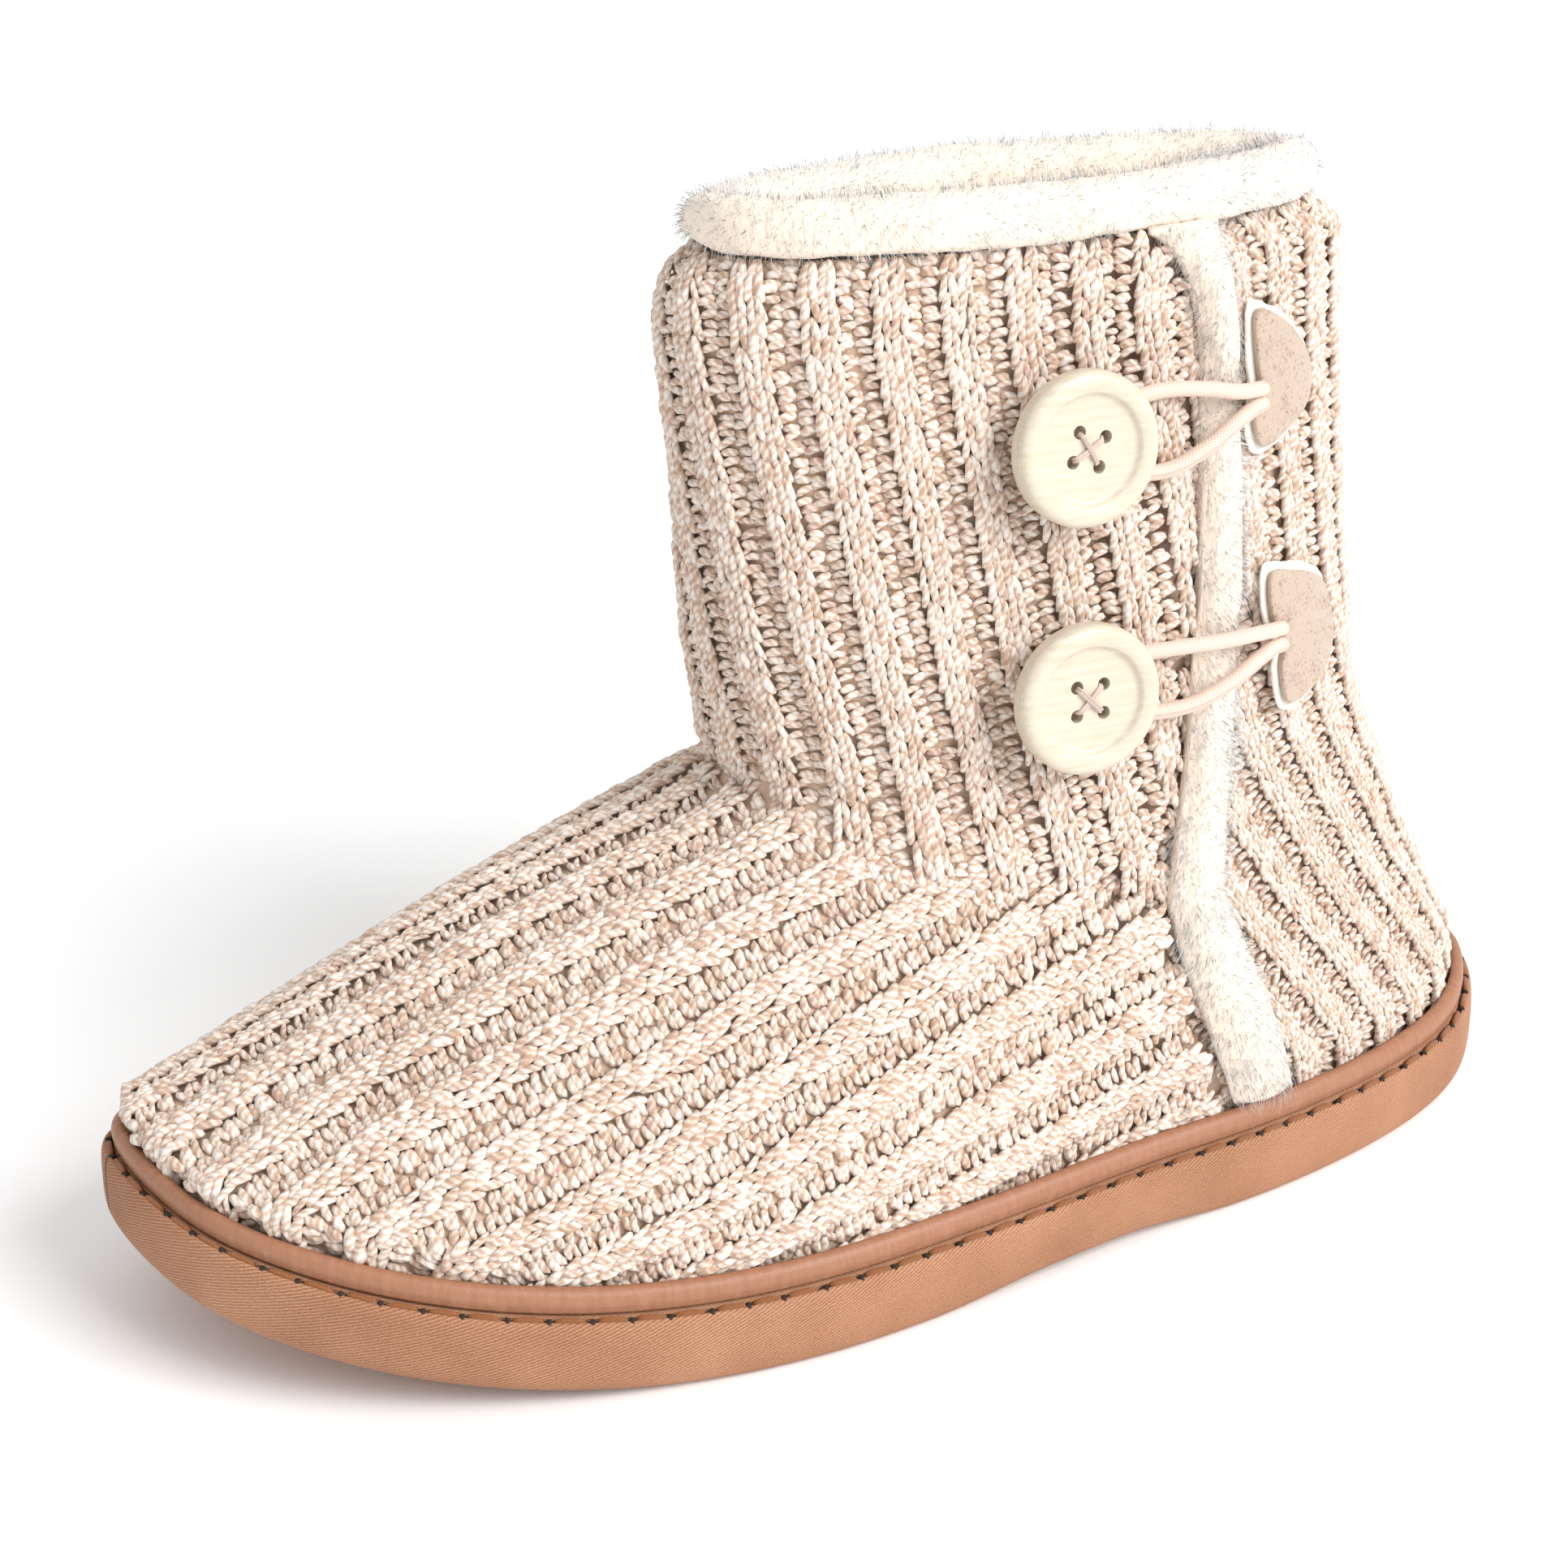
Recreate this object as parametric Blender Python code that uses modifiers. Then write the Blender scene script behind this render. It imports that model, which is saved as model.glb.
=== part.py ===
"""Knit slipper boot, left foot, standing empty on its sole.

A chunky rib-knit upper with a short shaft is stitched, with a smooth welt strip, to a soft outsole
that curls up at the toe. The front panel laps over the back panel along the outer side, plush lining
shows at the collar and down that lap, and two round buttons hold elastic loops from two felt tabs.

Frame: the toe points along -Y, the outer side of the foot is +X, the floor is z = 0, and the origin
is on the floor under the middle of the shoe.
"""

import math
from collections import namedtuple

import bmesh
import bpy
import numpy as np
from mathutils import Matrix, Vector

# Driving sizes, in metres
LENGTH = 0.265          # outsole, toe tip to heel tip
BALL_WIDTH = 0.104      # outsole, across the ball of the foot
SOLE_EDGE = 0.0136      # height of the outsole's side
TOE_SPRING = 0.0180     # lift of the outsole at the toe tip
HEEL_LIFT = 0.0025      # lift of the outsole at the heel tip
ARCH_OUTER = 0.0018     # rise of the tread under the waist, outer edge
ARCH_INNER = 0.0036     # rise of the tread under the waist, inner edge
WELT_SETBACK = 0.0022   # from the outsole's side in to the welt
WELT_THICK = 0.0023
WELT_HEIGHT = 0.0040
COLLAR_HEIGHT = 0.172   # floor to the knit edge of the shaft
COLLAR_WIDTH = 0.048    # across the knit at the collar
WALL = 0.0030           # knit with its backing
LAP_STEP = 0.0020       # how far the front panel stands over the back panel at their lap
LAP_REACH = 0.034       # length over which that step fades forward
SEAM_DEPTH = 0.0009     # crease where the vamp is sewn to the shaft
SEAM_HALF = 0.0017      # half the width of that crease
CORNER_WIDTH = 0.0115   # rounded top corner of the front panel
CORNER_HEIGHT = 0.0230
INSOLE_THICK = 0.0040
PLUSH_RISE = 0.0098     # plush above the knit edge
PLUSH_DROP = 0.0080     # plush hanging inside the knit edge
PLUSH_DEPTH = 0.0112    # plush, from the knit's outer face inwards
LOCK_SIZE = 0.0007      # depth of the locks in the plush
STRIP_HEIGHT = 0.0044   # plush down the lap, above the back panel
BUTTON_WIDTH = 0.0250
BUTTON_THICK = 0.0044
BUTTON_RIM = 0.0036     # width of the raised rim
BUTTON_RECESS = 0.0011  # depth of the face inside the rim
HOLE_WIDTH = 0.0022
HOLE_SPACING = 0.0048   # side of the square of four holes
SHANK_HEIGHT = 0.0042   # thread between knit and button
SHANK_WIDTH = 0.0042
ELASTIC_WIDTH = 0.0026
TAB_HEIGHT = 0.0255
TAB_THICK = 0.0010
BACKING_THICK = 0.0008
BACKING_MARGIN = 0.0014 # how far the backing shows round the tab
BUTTON_ROUND = 0.0011   # rounding of the button's rim
GAP = 0.0003            # between neighbouring pieces

# Counts
AROUND = 56             # points round the sole and the welt
COLLAR_AROUND = 60      # points round the plush collar
STRIP_ROWS, STRIP_ACROSS = 30, 6   # points along and across the plush strip
LAP_FRONT, LAP_BACK = 17, 11   # columns of the upper before and behind the lap, on each side
DECK = 5                # points across the sole between its two edges
SIDES = 6               # sides of the elastic
TURN = 26               # points round a button
HOLE_SIDES = 10
SHANK_SIDES = 14
TAB_POINTS = 26         # points round a tab
LOOP_POINTS = 36        # points along an elastic

# What follows from the sizes
HALF = LENGTH / 2
BALL = BALL_WIDTH / 2
UPPER_INSET = WELT_SETBACK + WELT_THICK + GAP
BASE = SOLE_EDGE + GAP
WELT_TOP = BASE + WELT_HEIGHT + GAP
REACH = HALF - UPPER_INSET
SPRING_FADE = 0.44 * (COLLAR_HEIGHT - BASE)   # height over which the upper stops following the toe
LAP_SLIT = 0.0012                              # width of the step's face, seen from the side
STRIP_SHOULDER = 0.006                         # over which an elastic climbs onto the plush strip

# Shares of the outsole's length from the toe, and of the upper's height
TOE_BREAK, HEEL_BREAK = 0.34, 0.86             # where the tread leaves the floor
WAIST_FRONT, WAIST_BACK = 0.45, 0.70           # ends of the arch
WAIST_FADE = 0.10
CORNER_FADE = 0.78                             # above it the front panel's rows drop to its corner
LOWER_ROWS = (0, 0.11, 0.24, 0.38, 0.52, 0.66, 0.80, 1)              # from the welt to the crease
HIGHER_ROWS = (0, 0.10, 0.22, 0.36, 0.50, 0.64, 0.77, 0.88, 0.96, 1)  # from the crease to the collar
SEAM_ROW = 1 + len(LOWER_ROWS)
PRESS_DEPTH = 0.55                             # how much an elastic presses the plush strip down
PRESS_REACH = 2.2 * ELASTIC_WIDTH
TAB_GRIP = 0.30                                # from a tab's middle to its loop, share of TAB_HEIGHT
LOOP_ANGLES = (60, 30, 0, -30, -60)            # degrees round the button's thread

Station = namedtuple("Station", "along outer inner")
# Outline of the outsole: share of its length from the toe, half widths as shares of half the ball.
OUTLINE = (
    Station(0.00, -0.24, -0.24),
    Station(0.03, 0.31, -0.55),
    Station(0.08, 0.56, -0.70),
    Station(0.17, 0.79, -0.84),
    Station(0.28, 0.93, -0.95),
    Station(0.38, 0.985, -0.955),
    Station(0.50, 0.945, -0.86),
    Station(0.62, 0.87, -0.775),
    Station(0.74, 0.82, -0.74),
    Station(0.85, 0.70, -0.665),
    Station(0.93, 0.52, -0.50),
    Station(0.98, 0.27, -0.27),
    Station(1.00, 0.00, 0.00),
)

Section = namedtuple("Section", "height front back width oval depth")
# The upper's level sections: height as a share of the way from the welt to the collar, front and back
# as shares of the base's reach, width as a share of the base's, oval as the blend to an oval, and
# depth as that oval's width in shares of the collar's.
SECTIONS = (
    Section(0.000, -1.000, 1.000, 1.000, 0.00, 1.42),
    Section(0.038, -1.005, 0.991, 1.025, 0.00, 1.42),
    Section(0.090, -0.936, 0.957, 1.019, 0.00, 1.42),
    Section(0.155, -0.834, 0.916, 0.980, 0.03, 1.42),
    Section(0.220, -0.722, 0.875, 0.925, 0.12, 1.42),
    Section(0.285, -0.580, 0.843, 0.870, 0.28, 1.42),
    Section(0.337, -0.425, 0.809, 0.837, 0.42, 1.42),
    Section(0.376, -0.300, 0.783, 0.815, 0.60, 1.41),
    Section(0.415, -0.226, 0.763, 0.793, 0.80, 1.40),
    Section(0.467, -0.227, 0.748, 0.770, 0.95, 1.37),
    Section(0.564, -0.245, 0.731, 0.770, 1.00, 1.31),
    Section(0.694, -0.259, 0.714, 0.770, 1.00, 1.23),
    Section(0.857, -0.277, 0.696, 0.770, 1.00, 1.125),
    Section(0.925, -0.282, 0.693, 0.770, 1.00, 1.075),
    Section(0.970, -0.270, 0.682, 0.770, 1.00, 1.045),
    Section(1.000, -0.238, 0.646, 0.770, 1.00, 1.00),
)
OVAL_POWER = 2.2

Seam = namedtuple("Seam", "along height")
# Seam between vamp and shaft: share of the way from the front to the lap, height as in SECTIONS.
SEAM = (
    Seam(0.00, 0.430),
    Seam(0.17, 0.424),
    Seam(0.39, 0.392),
    Seam(0.67, 0.350),
    Seam(0.84, 0.320),
    Seam(1.00, 0.285),
)

Lap = namedtuple("Lap", "height edge width")
# Edge of the front panel on the outer side: height as in SECTIONS, place along the foot as a share of
# half the length, and the width of the plush behind it as a share of half the length.
LAP = (
    Lap(0.000, 0.392, 0.100),
    Lap(0.080, 0.350, 0.106),
    Lap(0.180, 0.308, 0.102),
    Lap(0.260, 0.286, 0.090),
    Lap(0.410, 0.306, 0.074),
    Lap(0.600, 0.331, 0.070),
    Lap(0.860, 0.339, 0.060),
    Lap(0.940, 0.339, 0.050),
    Lap(1.000, 0.339, 0.030),
)

Edge = namedtuple("Edge", "inset height")
# Side of the outsole: inset as a share of WELT_SETBACK, height as a share of SOLE_EDGE. The two rows
# at 0.90 are the floor of the stitching channel.
SOLE_SIDE = (
    Edge(1.15, 0.00),
    Edge(0.40, 0.05),
    Edge(0.00, 0.19),
    Edge(0.00, 0.82),
    Edge(0.22, 0.93),
    Edge(0.48, 0.96),
    Edge(0.60, 0.90),
    Edge(0.88, 0.90),
    Edge(0.98, 1.00),
)
# Welt section: inset as a share of WELT_THICK from its outer face, height as a share of WELT_HEIGHT.
WELT_SIDE = (
    Edge(0.00, 0.00),
    Edge(-0.06, 0.55),
    Edge(0.12, 0.88),
    Edge(0.48, 1.00),
    Edge(1.00, 0.94),
    Edge(1.00, 0.00),
)

Plush = namedtuple("Plush", "inward height tuft")
# Plush roll at the collar: inward as a share of PLUSH_DEPTH from the knit's outer face, height as a
# share of PLUSH_RISE above the knit edge, or of PLUSH_DROP below it, and tuft as the way the locks
# stand out there, in shares of their depth.
PLUSH_ROLL = (
    Plush(0.03, 0.04, 0),
    Plush(-0.05, 0.22, 1),
    Plush(-0.06, 0.55, 1),
    Plush(0.10, 0.92, 1),
    Plush(0.42, 1.00, 1),
    Plush(0.78, 0.80, -1),
    Plush(0.98, 0.30, -1),
    Plush(1.00, -0.55, -1),
    Plush(0.84, -1.00, 0),
    Plush(0.58, -1.00, 0),
    Plush(0.45, -0.60, 0),
    Plush(0.42, 0.04, 0),
)
COLLAR_DIP = 0.25       # how much lower the plush stands on the inner side, as a share of PLUSH_RISE

Fastening = namedtuple("Fastening", "name height turn tab_along tab_height anchor loop")
Loop = namedtuple("Loop", "along up")
# Each loop's strands from the tab to the button and back: along as the share of the way from the tab
# to the button, up in shares of BUTTON_WIDTH above the line between them.
LOOPS = {
    "upper": (
        Loop(0.00, 0.062), Loop(0.12, 0.095), Loop(0.28, 0.160), Loop(0.50, 0.215), Loop(0.72, 0.205),
        Loop(0.90, 0.165), Loop(1.00, 0.148),
        Loop(1.00, -0.148), Loop(0.90, -0.170), Loop(0.72, -0.260), Loop(0.50, -0.300),
        Loop(0.30, -0.215), Loop(0.14, -0.110), Loop(0.00, -0.058),
    ),
    "lower": (
        Loop(0.00, 0.064), Loop(0.14, 0.095), Loop(0.30, 0.120), Loop(0.50, 0.150), Loop(0.72, 0.165),
        Loop(0.90, 0.155), Loop(1.00, 0.148),
        Loop(1.00, -0.148), Loop(0.90, -0.165), Loop(0.72, -0.230), Loop(0.50, -0.250),
        Loop(0.30, -0.180), Loop(0.14, -0.110), Loop(0.00, -0.064),
    ),
}
BUTTON_ALONG = 0.152    # place of the buttons along the foot, share of half the length
# height and tab_height as in SECTIONS; turn is the holes' angle; tab_along as a share of half LENGTH;
# anchor is where the loop leaves the tab, in shares of TAB_HEIGHT above its middle
FASTENINGS = (
    Fastening("upper", 0.801, math.radians(30), 0.468, 0.832, -0.10, LOOPS["upper"]),
    Fastening("lower", 0.537, math.radians(45), 0.502, 0.540, 0.04, LOOPS["lower"]),
)
Corner = namedtuple("Corner", "along up")
# Outlines of the half-moon tabs, as shares of TAB_HEIGHT from the tab's middle.
TAB_OUTLINES = {
    "upper": (
        Corner(-0.24, 0.49), Corner(-0.03, 0.44), Corner(0.15, 0.32), Corner(0.30, 0.14),
        Corner(0.36, -0.06), Corner(0.31, -0.26), Corner(0.14, -0.40), Corner(-0.17, -0.50),
        Corner(-0.28, -0.30), Corner(-0.24, -0.08), Corner(-0.26, 0.16),
    ),
    "lower": (
        Corner(-0.29, 0.51), Corner(-0.05, 0.49), Corner(0.17, 0.42), Corner(0.32, 0.30),
        Corner(0.41, 0.06), Corner(0.42, -0.18), Corner(0.26, -0.41), Corner(-0.10, -0.52),
        Corner(-0.21, -0.24), Corner(-0.19, -0.04), Corner(-0.30, 0.20),
    ),
}

Finish = namedtuple("Finish", "colour roughness")
FINISHES = {
    "knit_yarn": Finish("D9C6B4", 0.95),
    "plush": Finish("FBF3E4", 0.98),
    "sole_rubber": Finish("C08A63", 0.78),
    "welt_strip": Finish("B87C58", 0.45),
    "footbed": Finish("F3E8D6", 0.95),
    "wood": Finish("F3ECD0", 0.50),
    "elastic": Finish("DFC3B2", 0.70),
    "suede": Finish("DFC2AB", 0.92),
    "fleece_edge": Finish("FBF7EE", 0.92),
}


def smooth(t):
    """0 to 1 with level ends."""
    t = np.clip(t, 0.0, 1.0)
    return t * t * (3 - 2 * t)


def through(knots, values, at):
    """A smooth curve through the values: cubic pieces whose slopes come from the neighbours."""
    knots = np.asarray(knots, float)
    values = np.asarray(values, float)
    slopes = np.gradient(values, knots)
    at = np.clip(at, knots[0], knots[-1])
    i = np.clip(np.searchsorted(knots, at, side="right") - 1, 0, len(knots) - 2)
    span = knots[i + 1] - knots[i]
    t = (at - knots[i]) / span
    start = (2 * t**3 - 3 * t**2 + 1) * values[i] + (t**3 - 2 * t**2 + t) * span * slopes[i]
    return start + (3 * t**2 - 2 * t**3) * values[i + 1] + (t**3 - t**2) * span * slopes[i + 1]


def column(table, name):
    """One named column of a table."""
    return [getattr(row, name) for row in table]


def outline_knots():
    """The outline's stations as turns round it: 0 at the toe tip, 0.25 half way on the outer side."""
    turn = np.arccos(1 - 2 * np.array(column(OUTLINE, "along"))) / (2 * math.pi)
    outer = np.array(column(OUTLINE, "outer"))
    inner = np.array(column(OUTLINE, "inner"))
    knots = np.concatenate([turn, 1 - turn[-2:0:-1]])
    widths = np.concatenate([outer, inner[-2:0:-1]])
    knots = np.concatenate([knots[-3:] - 1, knots, knots[:3] + 1])
    return knots, np.concatenate([widths[-3:], widths, widths[:3]])


KNOTS, WIDTHS = outline_knots()


def outline(turn, inset=0.0):
    """Plan points (n, 2) of the outsole's outline, moved inwards by inset."""
    def plain(at):
        at = np.mod(at, 1.0)
        return np.stack([BALL * through(KNOTS, WIDTHS, at), -HALF * np.cos(2 * math.pi * at)], -1)

    turn = np.asarray(turn, float)
    small = 1e-4
    along = plain(turn + small) - plain(turn - small)
    along /= np.linalg.norm(along, axis=-1, keepdims=True)
    outward = np.stack([along[..., 1], -along[..., 0]], -1)
    return plain(turn) - inset * outward


def lift(y):
    """Height of the tread's edge over the floor: the toe spring and the rounded heel."""
    share = np.asarray(y) / LENGTH + 0.5
    toe = TOE_SPRING * np.clip((TOE_BREAK - share) / TOE_BREAK, 0, None) ** 2
    return toe + HEEL_LIFT * np.clip((share - HEEL_BREAK) / (1 - HEEL_BREAK), 0, None) ** 2


def arch(x, y):
    """Rise of the tread under the waist, more towards the inner side."""
    share = np.asarray(y) / LENGTH + 0.5
    bump = smooth((share - WAIST_FRONT) / WAIST_FADE) * smooth((WAIST_BACK - share) / WAIST_FADE)
    across = smooth(0.5 - np.asarray(x) / BALL_WIDTH)
    return bump * (ARCH_OUTER + (ARCH_INNER - ARCH_OUTER) * across)


def level(share):
    """World height of a share of the way from the welt to the collar."""
    return WELT_TOP + share * (COLLAR_HEIGHT - WELT_TOP)


def section_at(z):
    """front, back, width, oval and depth of the upper at world height z."""
    share = (np.asarray(z) - WELT_TOP) / (COLLAR_HEIGHT - WELT_TOP)
    heights = column(SECTIONS, "height")
    names = ("front", "back", "width", "oval", "depth")
    return [through(heights, column(SECTIONS, name), share) for name in names]


def upper_plain(turn, z):
    """The knit's outer face at a turn and a height, before its lap and its crease."""
    front, back, width, oval, depth = section_at(z)
    base = outline(turn, UPPER_INSET)
    along = (base[..., 1] + REACH) / (2 * REACH)
    round_x = np.sin(2 * math.pi * turn)
    round_x = np.sign(round_x) * np.abs(round_x) ** (2 / OVAL_POWER) * depth * COLLAR_WIDTH / 2
    x = (1 - oval) * width * base[..., 0] + oval * round_x
    y = REACH * (front + (back - front) * along)
    follows = np.clip(1 - (z - BASE) / SPRING_FADE, 0, 1)
    return np.stack(np.broadcast_arrays(x, y, z + follows * lift(y)), -1)


def turn_at(y, z):
    """The turn, on the outer side, where the upper at height z reaches y."""
    turns = np.linspace(0, 0.5, 240)
    base = (outline(turns, UPPER_INSET)[:, 1] + REACH) / (2 * REACH)
    front, back = section_at(z)[:2]
    return np.interp((np.asarray(y) / REACH - front) / (back - front), base, turns)


def lap_edge(z):
    """y of the front panel's edge at height z."""
    share = (np.asarray(z) - WELT_TOP) / (COLLAR_HEIGHT - WELT_TOP)
    return HALF * through(column(LAP, "height"), column(LAP, "edge"), share)


def lap_rise(y, z):
    """How far the front panel stands out, on the outer side."""
    ahead = lap_edge(z) - y
    rise = LAP_STEP * (1 - smooth(ahead / LAP_REACH)) * smooth((z - WELT_TOP) / (2 * WELT_HEIGHT))
    return np.where(ahead >= -1e-7, rise, 0.0)


def side_point(y, z, out=0.0):
    """A point over the outer side of the shaft, out metres off the back panel's face."""
    y, z = np.broadcast_arrays(np.asarray(y, float), np.asarray(z, float))
    small = 5e-4
    here = upper_plain(turn_at(y, z), z)
    back = upper_plain(turn_at(y + small, z), z) - upper_plain(turn_at(y - small, z), z)
    up = upper_plain(turn_at(y, z + small), z + small) - upper_plain(turn_at(y, z - small), z - small)
    normal = np.cross(back, up)
    normal /= np.linalg.norm(normal, axis=-1, keepdims=True)
    return here + np.asarray(out)[..., None] * normal, normal


def seam_height(share):
    """World height of the vamp's seam, by the share of the way from the front to the lap."""
    return level(through(column(SEAM, "along"), column(SEAM, "height"), np.clip(share, 0, 1)))


def material(name):
    finish = FINISHES[name]
    made = bpy.data.materials.new(name)
    made.use_nodes = True
    shader = made.node_tree.nodes["Principled BSDF"]
    parts = [int(finish.colour[i:i + 2], 16) / 255 for i in (0, 2, 4)]
    linear = [c / 12.92 if c <= 0.04045 else ((c + 0.055) / 1.055) ** 2.4 for c in parts]
    shader.inputs["Base Color"].default_value = (*linear, 1)
    shader.inputs["Roughness"].default_value = finish.roughness
    shader.inputs["Metallic"].default_value = 0
    return made


def mesh_object(name, points, faces, finish, collection):
    """A new object from points and faces, its normals turned outwards."""
    mesh = bpy.data.meshes.new(name)
    mesh.from_pydata([tuple(map(float, p)) for p in points], [], faces)
    work = bmesh.new()
    work.from_mesh(mesh)
    bmesh.ops.recalc_face_normals(work, faces=work.faces)
    work.to_mesh(mesh)
    work.free()
    mesh.shade_smooth()
    mesh.set_sharp_from_angle(angle=math.radians(40))
    mesh.materials.append(finish)
    made = bpy.data.objects.new(name, mesh)
    collection.objects.link(made)
    return made


def band_faces(rows, around, closed=True):
    """Quads between rows of points that each go round."""
    last = around if closed else around - 1
    faces = []
    for low in range(0, (rows - 1) * around, around):
        high = low + around
        faces += [(low + i, low + (i + 1) % around, high + (i + 1) % around, high + i) for i in range(last)]
    return faces


def deck(ring, first, height, start):
    """Points and faces that close a ring of an even number of points, strip by strip across."""
    around = len(ring)
    points, faces, strips = [], [], [[first]]
    for i in range(1, around // 2):
        a, b = ring[i], ring[around - i]
        inner = []
        for k in range(1, DECK):
            x, y = (a + (b - a) * k / DECK)[:2]
            inner.append(start + len(points))
            points.append((x, y, height(x, y)))
        strips.append([first + i, *inner, first + around - i])
    strips.append([first + around // 2])
    for one, two in zip(strips, strips[1:]):
        if len(one) == 1 or len(two) == 1:
            tip, row = (one[0], two) if len(one) == 1 else (two[0], one)
            faces += [(tip, row[k], row[k + 1]) for k in range(len(row) - 1)]
        else:
            faces += [(one[k], one[k + 1], two[k + 1], two[k]) for k in range(len(one) - 1)]
    return points, faces


def slab(name, rings, under, over, finish, collection):
    """A solid between rings stacked upwards, closed below and above by decks."""
    points = np.concatenate(rings)
    faces = band_faces(len(rings), len(rings[0]))
    below, below_faces = deck(rings[0], 0, under, len(points))
    points = np.concatenate([points, below])
    above, above_faces = deck(rings[-1], (len(rings) - 1) * len(rings[0]), over, len(points))
    points = np.concatenate([points, above])
    return mesh_object(name, points, faces + below_faces + above_faces, finish, collection)


def make_outsole(finish, collection):
    """Side profile swept round the outline, with a tread that springs at the toe and arches at the waist."""
    turns = np.arange(AROUND) / AROUND
    rings = []
    for row in SOLE_SIDE:
        plan = outline(turns, row.inset * WELT_SETBACK)
        low = lift(plan[:, 1]) + (1 - row.height) * arch(plan[:, 0], plan[:, 1])
        rings.append(np.column_stack([plan, low + row.height * SOLE_EDGE]))
    return slab(
        "outsole", rings,
        lambda x, y: float(lift(y) + arch(x, y)), lambda x, y: float(lift(y) + SOLE_EDGE),
        finish, collection,
    )


def make_insole(finish, collection):
    """Footbed inside the upper, resting on the outsole."""
    turns = np.arange(AROUND) / AROUND
    inset = UPPER_INSET + WALL + 3 * GAP
    rings = []
    for share in (0.0, 0.75, 1.0):
        plan = outline(turns, inset + (GAP * 3 if share == 1.0 else 0.0))
        rings.append(np.column_stack([plan, lift(plan[:, 1]) + BASE + share * INSOLE_THICK]))
    return slab(
        "insole", rings,
        lambda x, y: float(lift(y) + BASE), lambda x, y: float(lift(y) + BASE + INSOLE_THICK),
        finish, collection,
    )


def make_welt(finish, collection):
    """Smooth strip round the foot of the upper, on the outsole's rim."""
    turns = np.arange(AROUND) / AROUND
    rows = []
    for row in WELT_SIDE:
        plan = outline(turns, WELT_SETBACK + row.inset * WELT_THICK)
        rows.append(np.column_stack([plan, lift(plan[:, 1]) + BASE + row.height * WELT_HEIGHT]))
    rows.append(rows[0])
    points = np.concatenate(rows[:-1])
    faces = band_faces(len(rows), AROUND)
    faces = [tuple(i % len(points) for i in face) for face in faces]
    return mesh_object("welt", points, faces, finish, collection)


def upper_rows(share):
    """World heights of the rows of one column, foot to collar, with three at the seam's crease."""
    seam = seam_height(share)
    lower = [WELT_TOP + q * (seam - SEAM_HALF - WELT_TOP) for q in LOWER_ROWS]
    top = seam + SEAM_HALF
    higher = [top + q * (COLLAR_HEIGHT - top) for q in HIGHER_ROWS]
    return np.array([BASE, *lower, seam, *higher])


def corner_drop(y):
    """How far the front panel's edge rounds down towards the lap."""
    into = np.clip(1 - (lap_edge(COLLAR_HEIGHT) - y) / CORNER_WIDTH, 0, 1)
    return CORNER_HEIGHT * (1 - np.sqrt(1 - into**2 * 0.999))


def make_upper(finish, collection):
    """The knit shell: columns from the front to the lap, behind it, and the same again on the inner side."""
    columns = [(k / LAP_FRONT, True, 1) for k in range(LAP_FRONT + 1)]
    columns += [(k / LAP_BACK, False, 1) for k in range(LAP_BACK)]
    columns += [(1 - k / LAP_BACK, False, -1) for k in range(LAP_BACK)]
    columns += [(1 - k / LAP_FRONT, True, -1) for k in range(LAP_FRONT)]
    grid = []
    for share, ahead, side in columns:
        z = upper_rows(share if ahead else 1.0)
        edge = turn_at(lap_edge(z), z)
        if side > 0 and not ahead:
            edge = turn_at(lap_edge(z) + LAP_SLIT, z)
        turn = edge * share if ahead else edge + (0.5 - edge) * share
        turn = turn if side > 0 else 1 - turn
        if side > 0 and ahead:
            y = upper_plain(turn, z)[..., 1]
            high = smooth((z - level(CORNER_FADE)) / (COLLAR_HEIGHT - level(CORNER_FADE)))
            z = z - high * corner_drop(y)
            turn = turn_at(lap_edge(z), z) * share
        flat = upper_plain(np.mod(turn, 1.0), z)
        grid.append(np.column_stack([flat, turn, z, np.full(len(z), float(side > 0 and ahead))]))
    grid = np.array(grid)
    face = grid[..., :3]
    around = np.roll(face, -1, axis=0) - np.roll(face, 1, axis=0)
    normal = np.cross(around, np.gradient(face, axis=1))
    normal /= np.linalg.norm(normal, axis=-1, keepdims=True)
    out = grid[..., 5] * lap_rise(face[..., 1], grid[..., 4])
    ahead = np.array([ahead for _, ahead, _ in columns])
    out[ahead, SEAM_ROW] -= SEAM_DEPTH
    face = face + out[..., None] * normal
    face[:, 0, 2] = lift(face[:, 0, 1]) + BASE
    around_count, row_count = face.shape[:2]
    points = face.transpose(1, 0, 2).reshape(-1, 3)
    shell = mesh_object("upper", points, band_faces(row_count, around_count), finish, collection)
    wall = shell.modifiers.new("wall", "SOLIDIFY")
    wall.thickness = WALL
    wall.offset = -1
    wall.use_even_offset = True
    return shell


def lock(station, row):
    """Depth of the locks in the plush: leaning tufts, each three stations long, set off row by row."""
    leaning = 0.6 * math.sin(2 * math.pi * (station / 3.0 + row * 0.37))
    return LOCK_SIZE * (leaning + 0.4 * math.cos(station * 1.7 + row * 2.1))


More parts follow.
